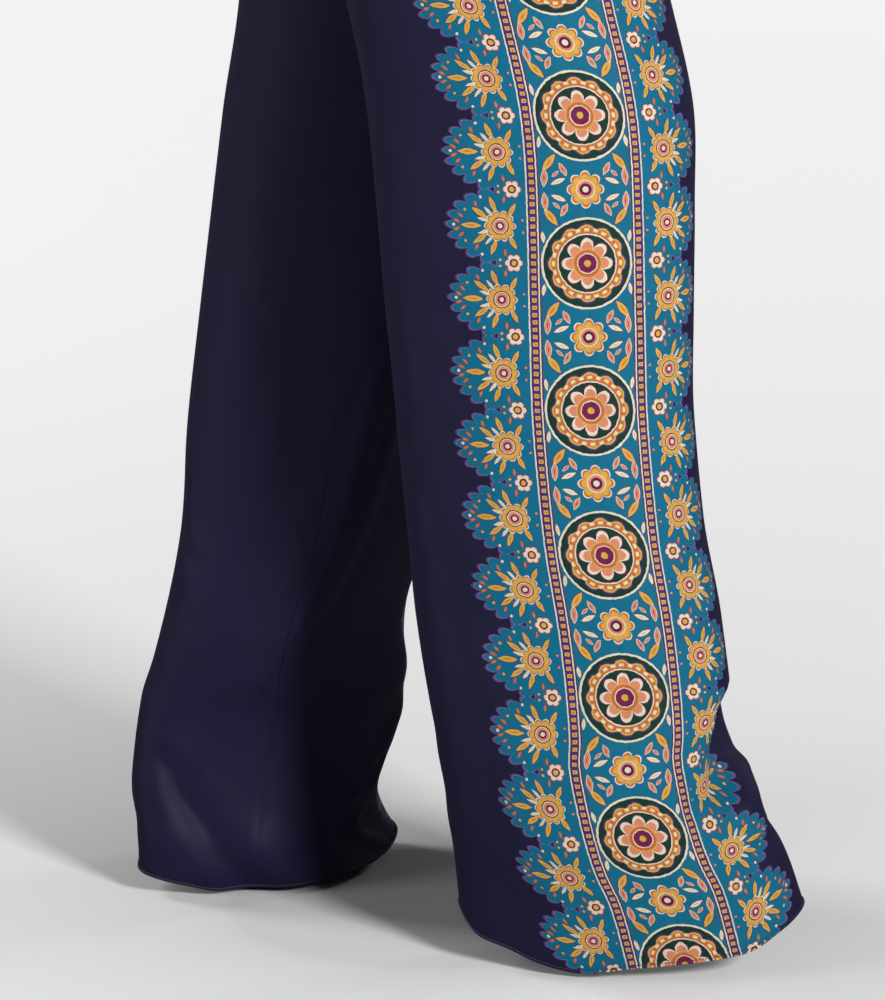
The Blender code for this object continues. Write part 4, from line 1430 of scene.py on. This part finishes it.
def floor_material(settings):
    """A pale matt floor that glows more with distance from the garment."""
    looks = {"Emission_Strength": 1.0, "Roughness": 0.85, "Specular_IOR_Level": 0.15}
    made, n, shader = new_material("pale_floor", **looks)
    place = n.get("ShaderNodeTexCoord", None, "Object")
    x, y, _ = n.split(place)
    away = n.vector("LENGTH", n.join(x, y))
    far = n.math("DIVIDE", away - GLOW_START, GLOW_END - GLOW_START, clamp=True)
    glow = far**GLOW_POWER * settings.backdrop_glow
    grain = n.noise(place, 30.0, 3.0) * 0.02 + 0.99
    n.feed(shader, {
        "Emission Color": n.join(glow, glow, glow),
        "Base Color": n.shade(tuple(settings.floor_colour), grain),
    })
    return made


class TROUSERS_OT_stage(bpy.types.Operator):
    """Lay the floor and set the lights and the camera"""

    bl_idname = "trousers.stage"
    bl_label = "Stage"

    def execute(self, context):
        settings = context.scene.trousers_stage
        self.ground(settings)
        self.lights(context, settings)
        self.camera(context, settings)
        return {"FINISHED"}

    @staticmethod
    def ground(settings):
        turns = np.linspace(0, math.tau, STAGE_SIDES, endpoint=False)
        low = [(STAGE_RADIUS * math.cos(t), STAGE_RADIUS * math.sin(t), FLOOR_HEIGHT) for t in turns]
        stage_object("floor", low, [tuple(range(STAGE_SIDES))], floor_material(settings))
        high = [(x, y, FLOOR_HEIGHT + WALL_HEIGHT) for x, y, _ in low]
        after = [(i, (i + 1) % STAGE_SIDES) for i in range(STAGE_SIDES)]
        sides = [(i, j, j + STAGE_SIDES, i + STAGE_SIDES) for i, j in after]
        paint, _, _ = new_material(
            "pale_backdrop", Base_Color=(0.0, 0.0, 0.0, 1.0), Emission_Strength=1.0,
            Emission_Color=(WALL_GLOW, WALL_GLOW, WALL_GLOW, 1.0),
        )
        wall = stage_object("backdrop", low + high, sides, paint)
        wall.visible_diffuse = wall.visible_shadow = False

    @staticmethod
    def lights(context, settings):
        world = bpy.data.worlds.new("surround")
        world.use_nodes = True
        back = world.node_tree.nodes["Background"]
        back.inputs["Color"].default_value = (1.0, 1.0, 1.0, 1.0)
        back.inputs["Strength"].default_value = settings.world_strength
        context.scene.world = world
        for name, place, size, share in LIGHTS:
            light = bpy.data.lights.new(name, "AREA")
            light.size, light.energy = size, settings.key_power * share
            made = in_scene(name, light)
            made.location = place
            made.rotation_euler = (Vector(place) - Vector(LIGHT_AIM)).to_track_quat("Z", "Y").to_euler()
            made.visible_camera = False
        context.scene.view_settings.view_transform = "Standard"

    @staticmethod
    def camera(context, settings):
        a, e = settings.azimuth, settings.elevation
        back = Vector((math.sin(a) * math.cos(e), -math.cos(a) * math.cos(e), math.sin(e)))
        data = bpy.data.cameras.new("camera")
        data.lens, data.sensor_width, data.clip_end = settings.lens, SENSOR_WIDTH, VIEW_END
        made = in_scene("camera", data)
        made.location = Vector((0.0, 0.0, settings.target_height + FLOOR_HEIGHT)) + back * settings.distance
        made.rotation_euler = back.to_track_quat("Z", "Y").to_euler()
        context.scene.camera = made


class TROUSERS_PT_panel(bpy.types.Panel):
    """The trousers' pieces and their sizes"""

    bl_idname = "TROUSERS_PT_panel"
    bl_label = "Trousers"
    bl_space_type = "VIEW_3D"
    bl_region_type = "UI"
    bl_category = "Trousers"

    def draw(self, context):
        for name in GROUPS:
            box = self.layout.box()
            settings = getattr(context.scene, name)
            for key in settings.__annotations__:
                box.prop(settings, key)
        for made in OPERATORS:
            self.layout.operator(made.bl_idname)


OPERATORS = (
    TROUSERS_OT_stage, TROUSERS_OT_panels, TROUSERS_OT_waistband,
    TROUSERS_OT_fly, TROUSERS_OT_button, TROUSERS_OT_stitches,
)
GROUPS = {"trousers_cloth": TrousersCloth, "trousers_trim": TrousersTrim, "trousers_stage": TrousersStage}


def register():
    for made in (*GROUPS.values(), *OPERATORS, TROUSERS_PT_panel):
        bpy.utils.register_class(made)
    for name, made in GROUPS.items():
        setattr(bpy.types.Scene, name, bpy.props.PointerProperty(type=made))


def unregister():
    for name in GROUPS:
        delattr(bpy.types.Scene, name)
    for made in reversed((*GROUPS.values(), *OPERATORS, TROUSERS_PT_panel)):
        bpy.utils.unregister_class(made)


def main():
    """Builds the whole garment on its frame."""
    for thing in [o for o in bpy.data.objects if "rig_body" not in o and not o.name.startswith("body")]:
        bpy.data.objects.remove(thing)
    register()
    build_flower_group()
    build_leaf_group()
    build_weave_group()
    build_print_group()
    bpy.ops.trousers.stage()
    bpy.ops.trousers.panels()
    bpy.ops.trousers.waistband()
    bpy.ops.trousers.fly()
    bpy.ops.trousers.button()
    bpy.ops.trousers.stitches()


if __name__ == "__main__":
    main()
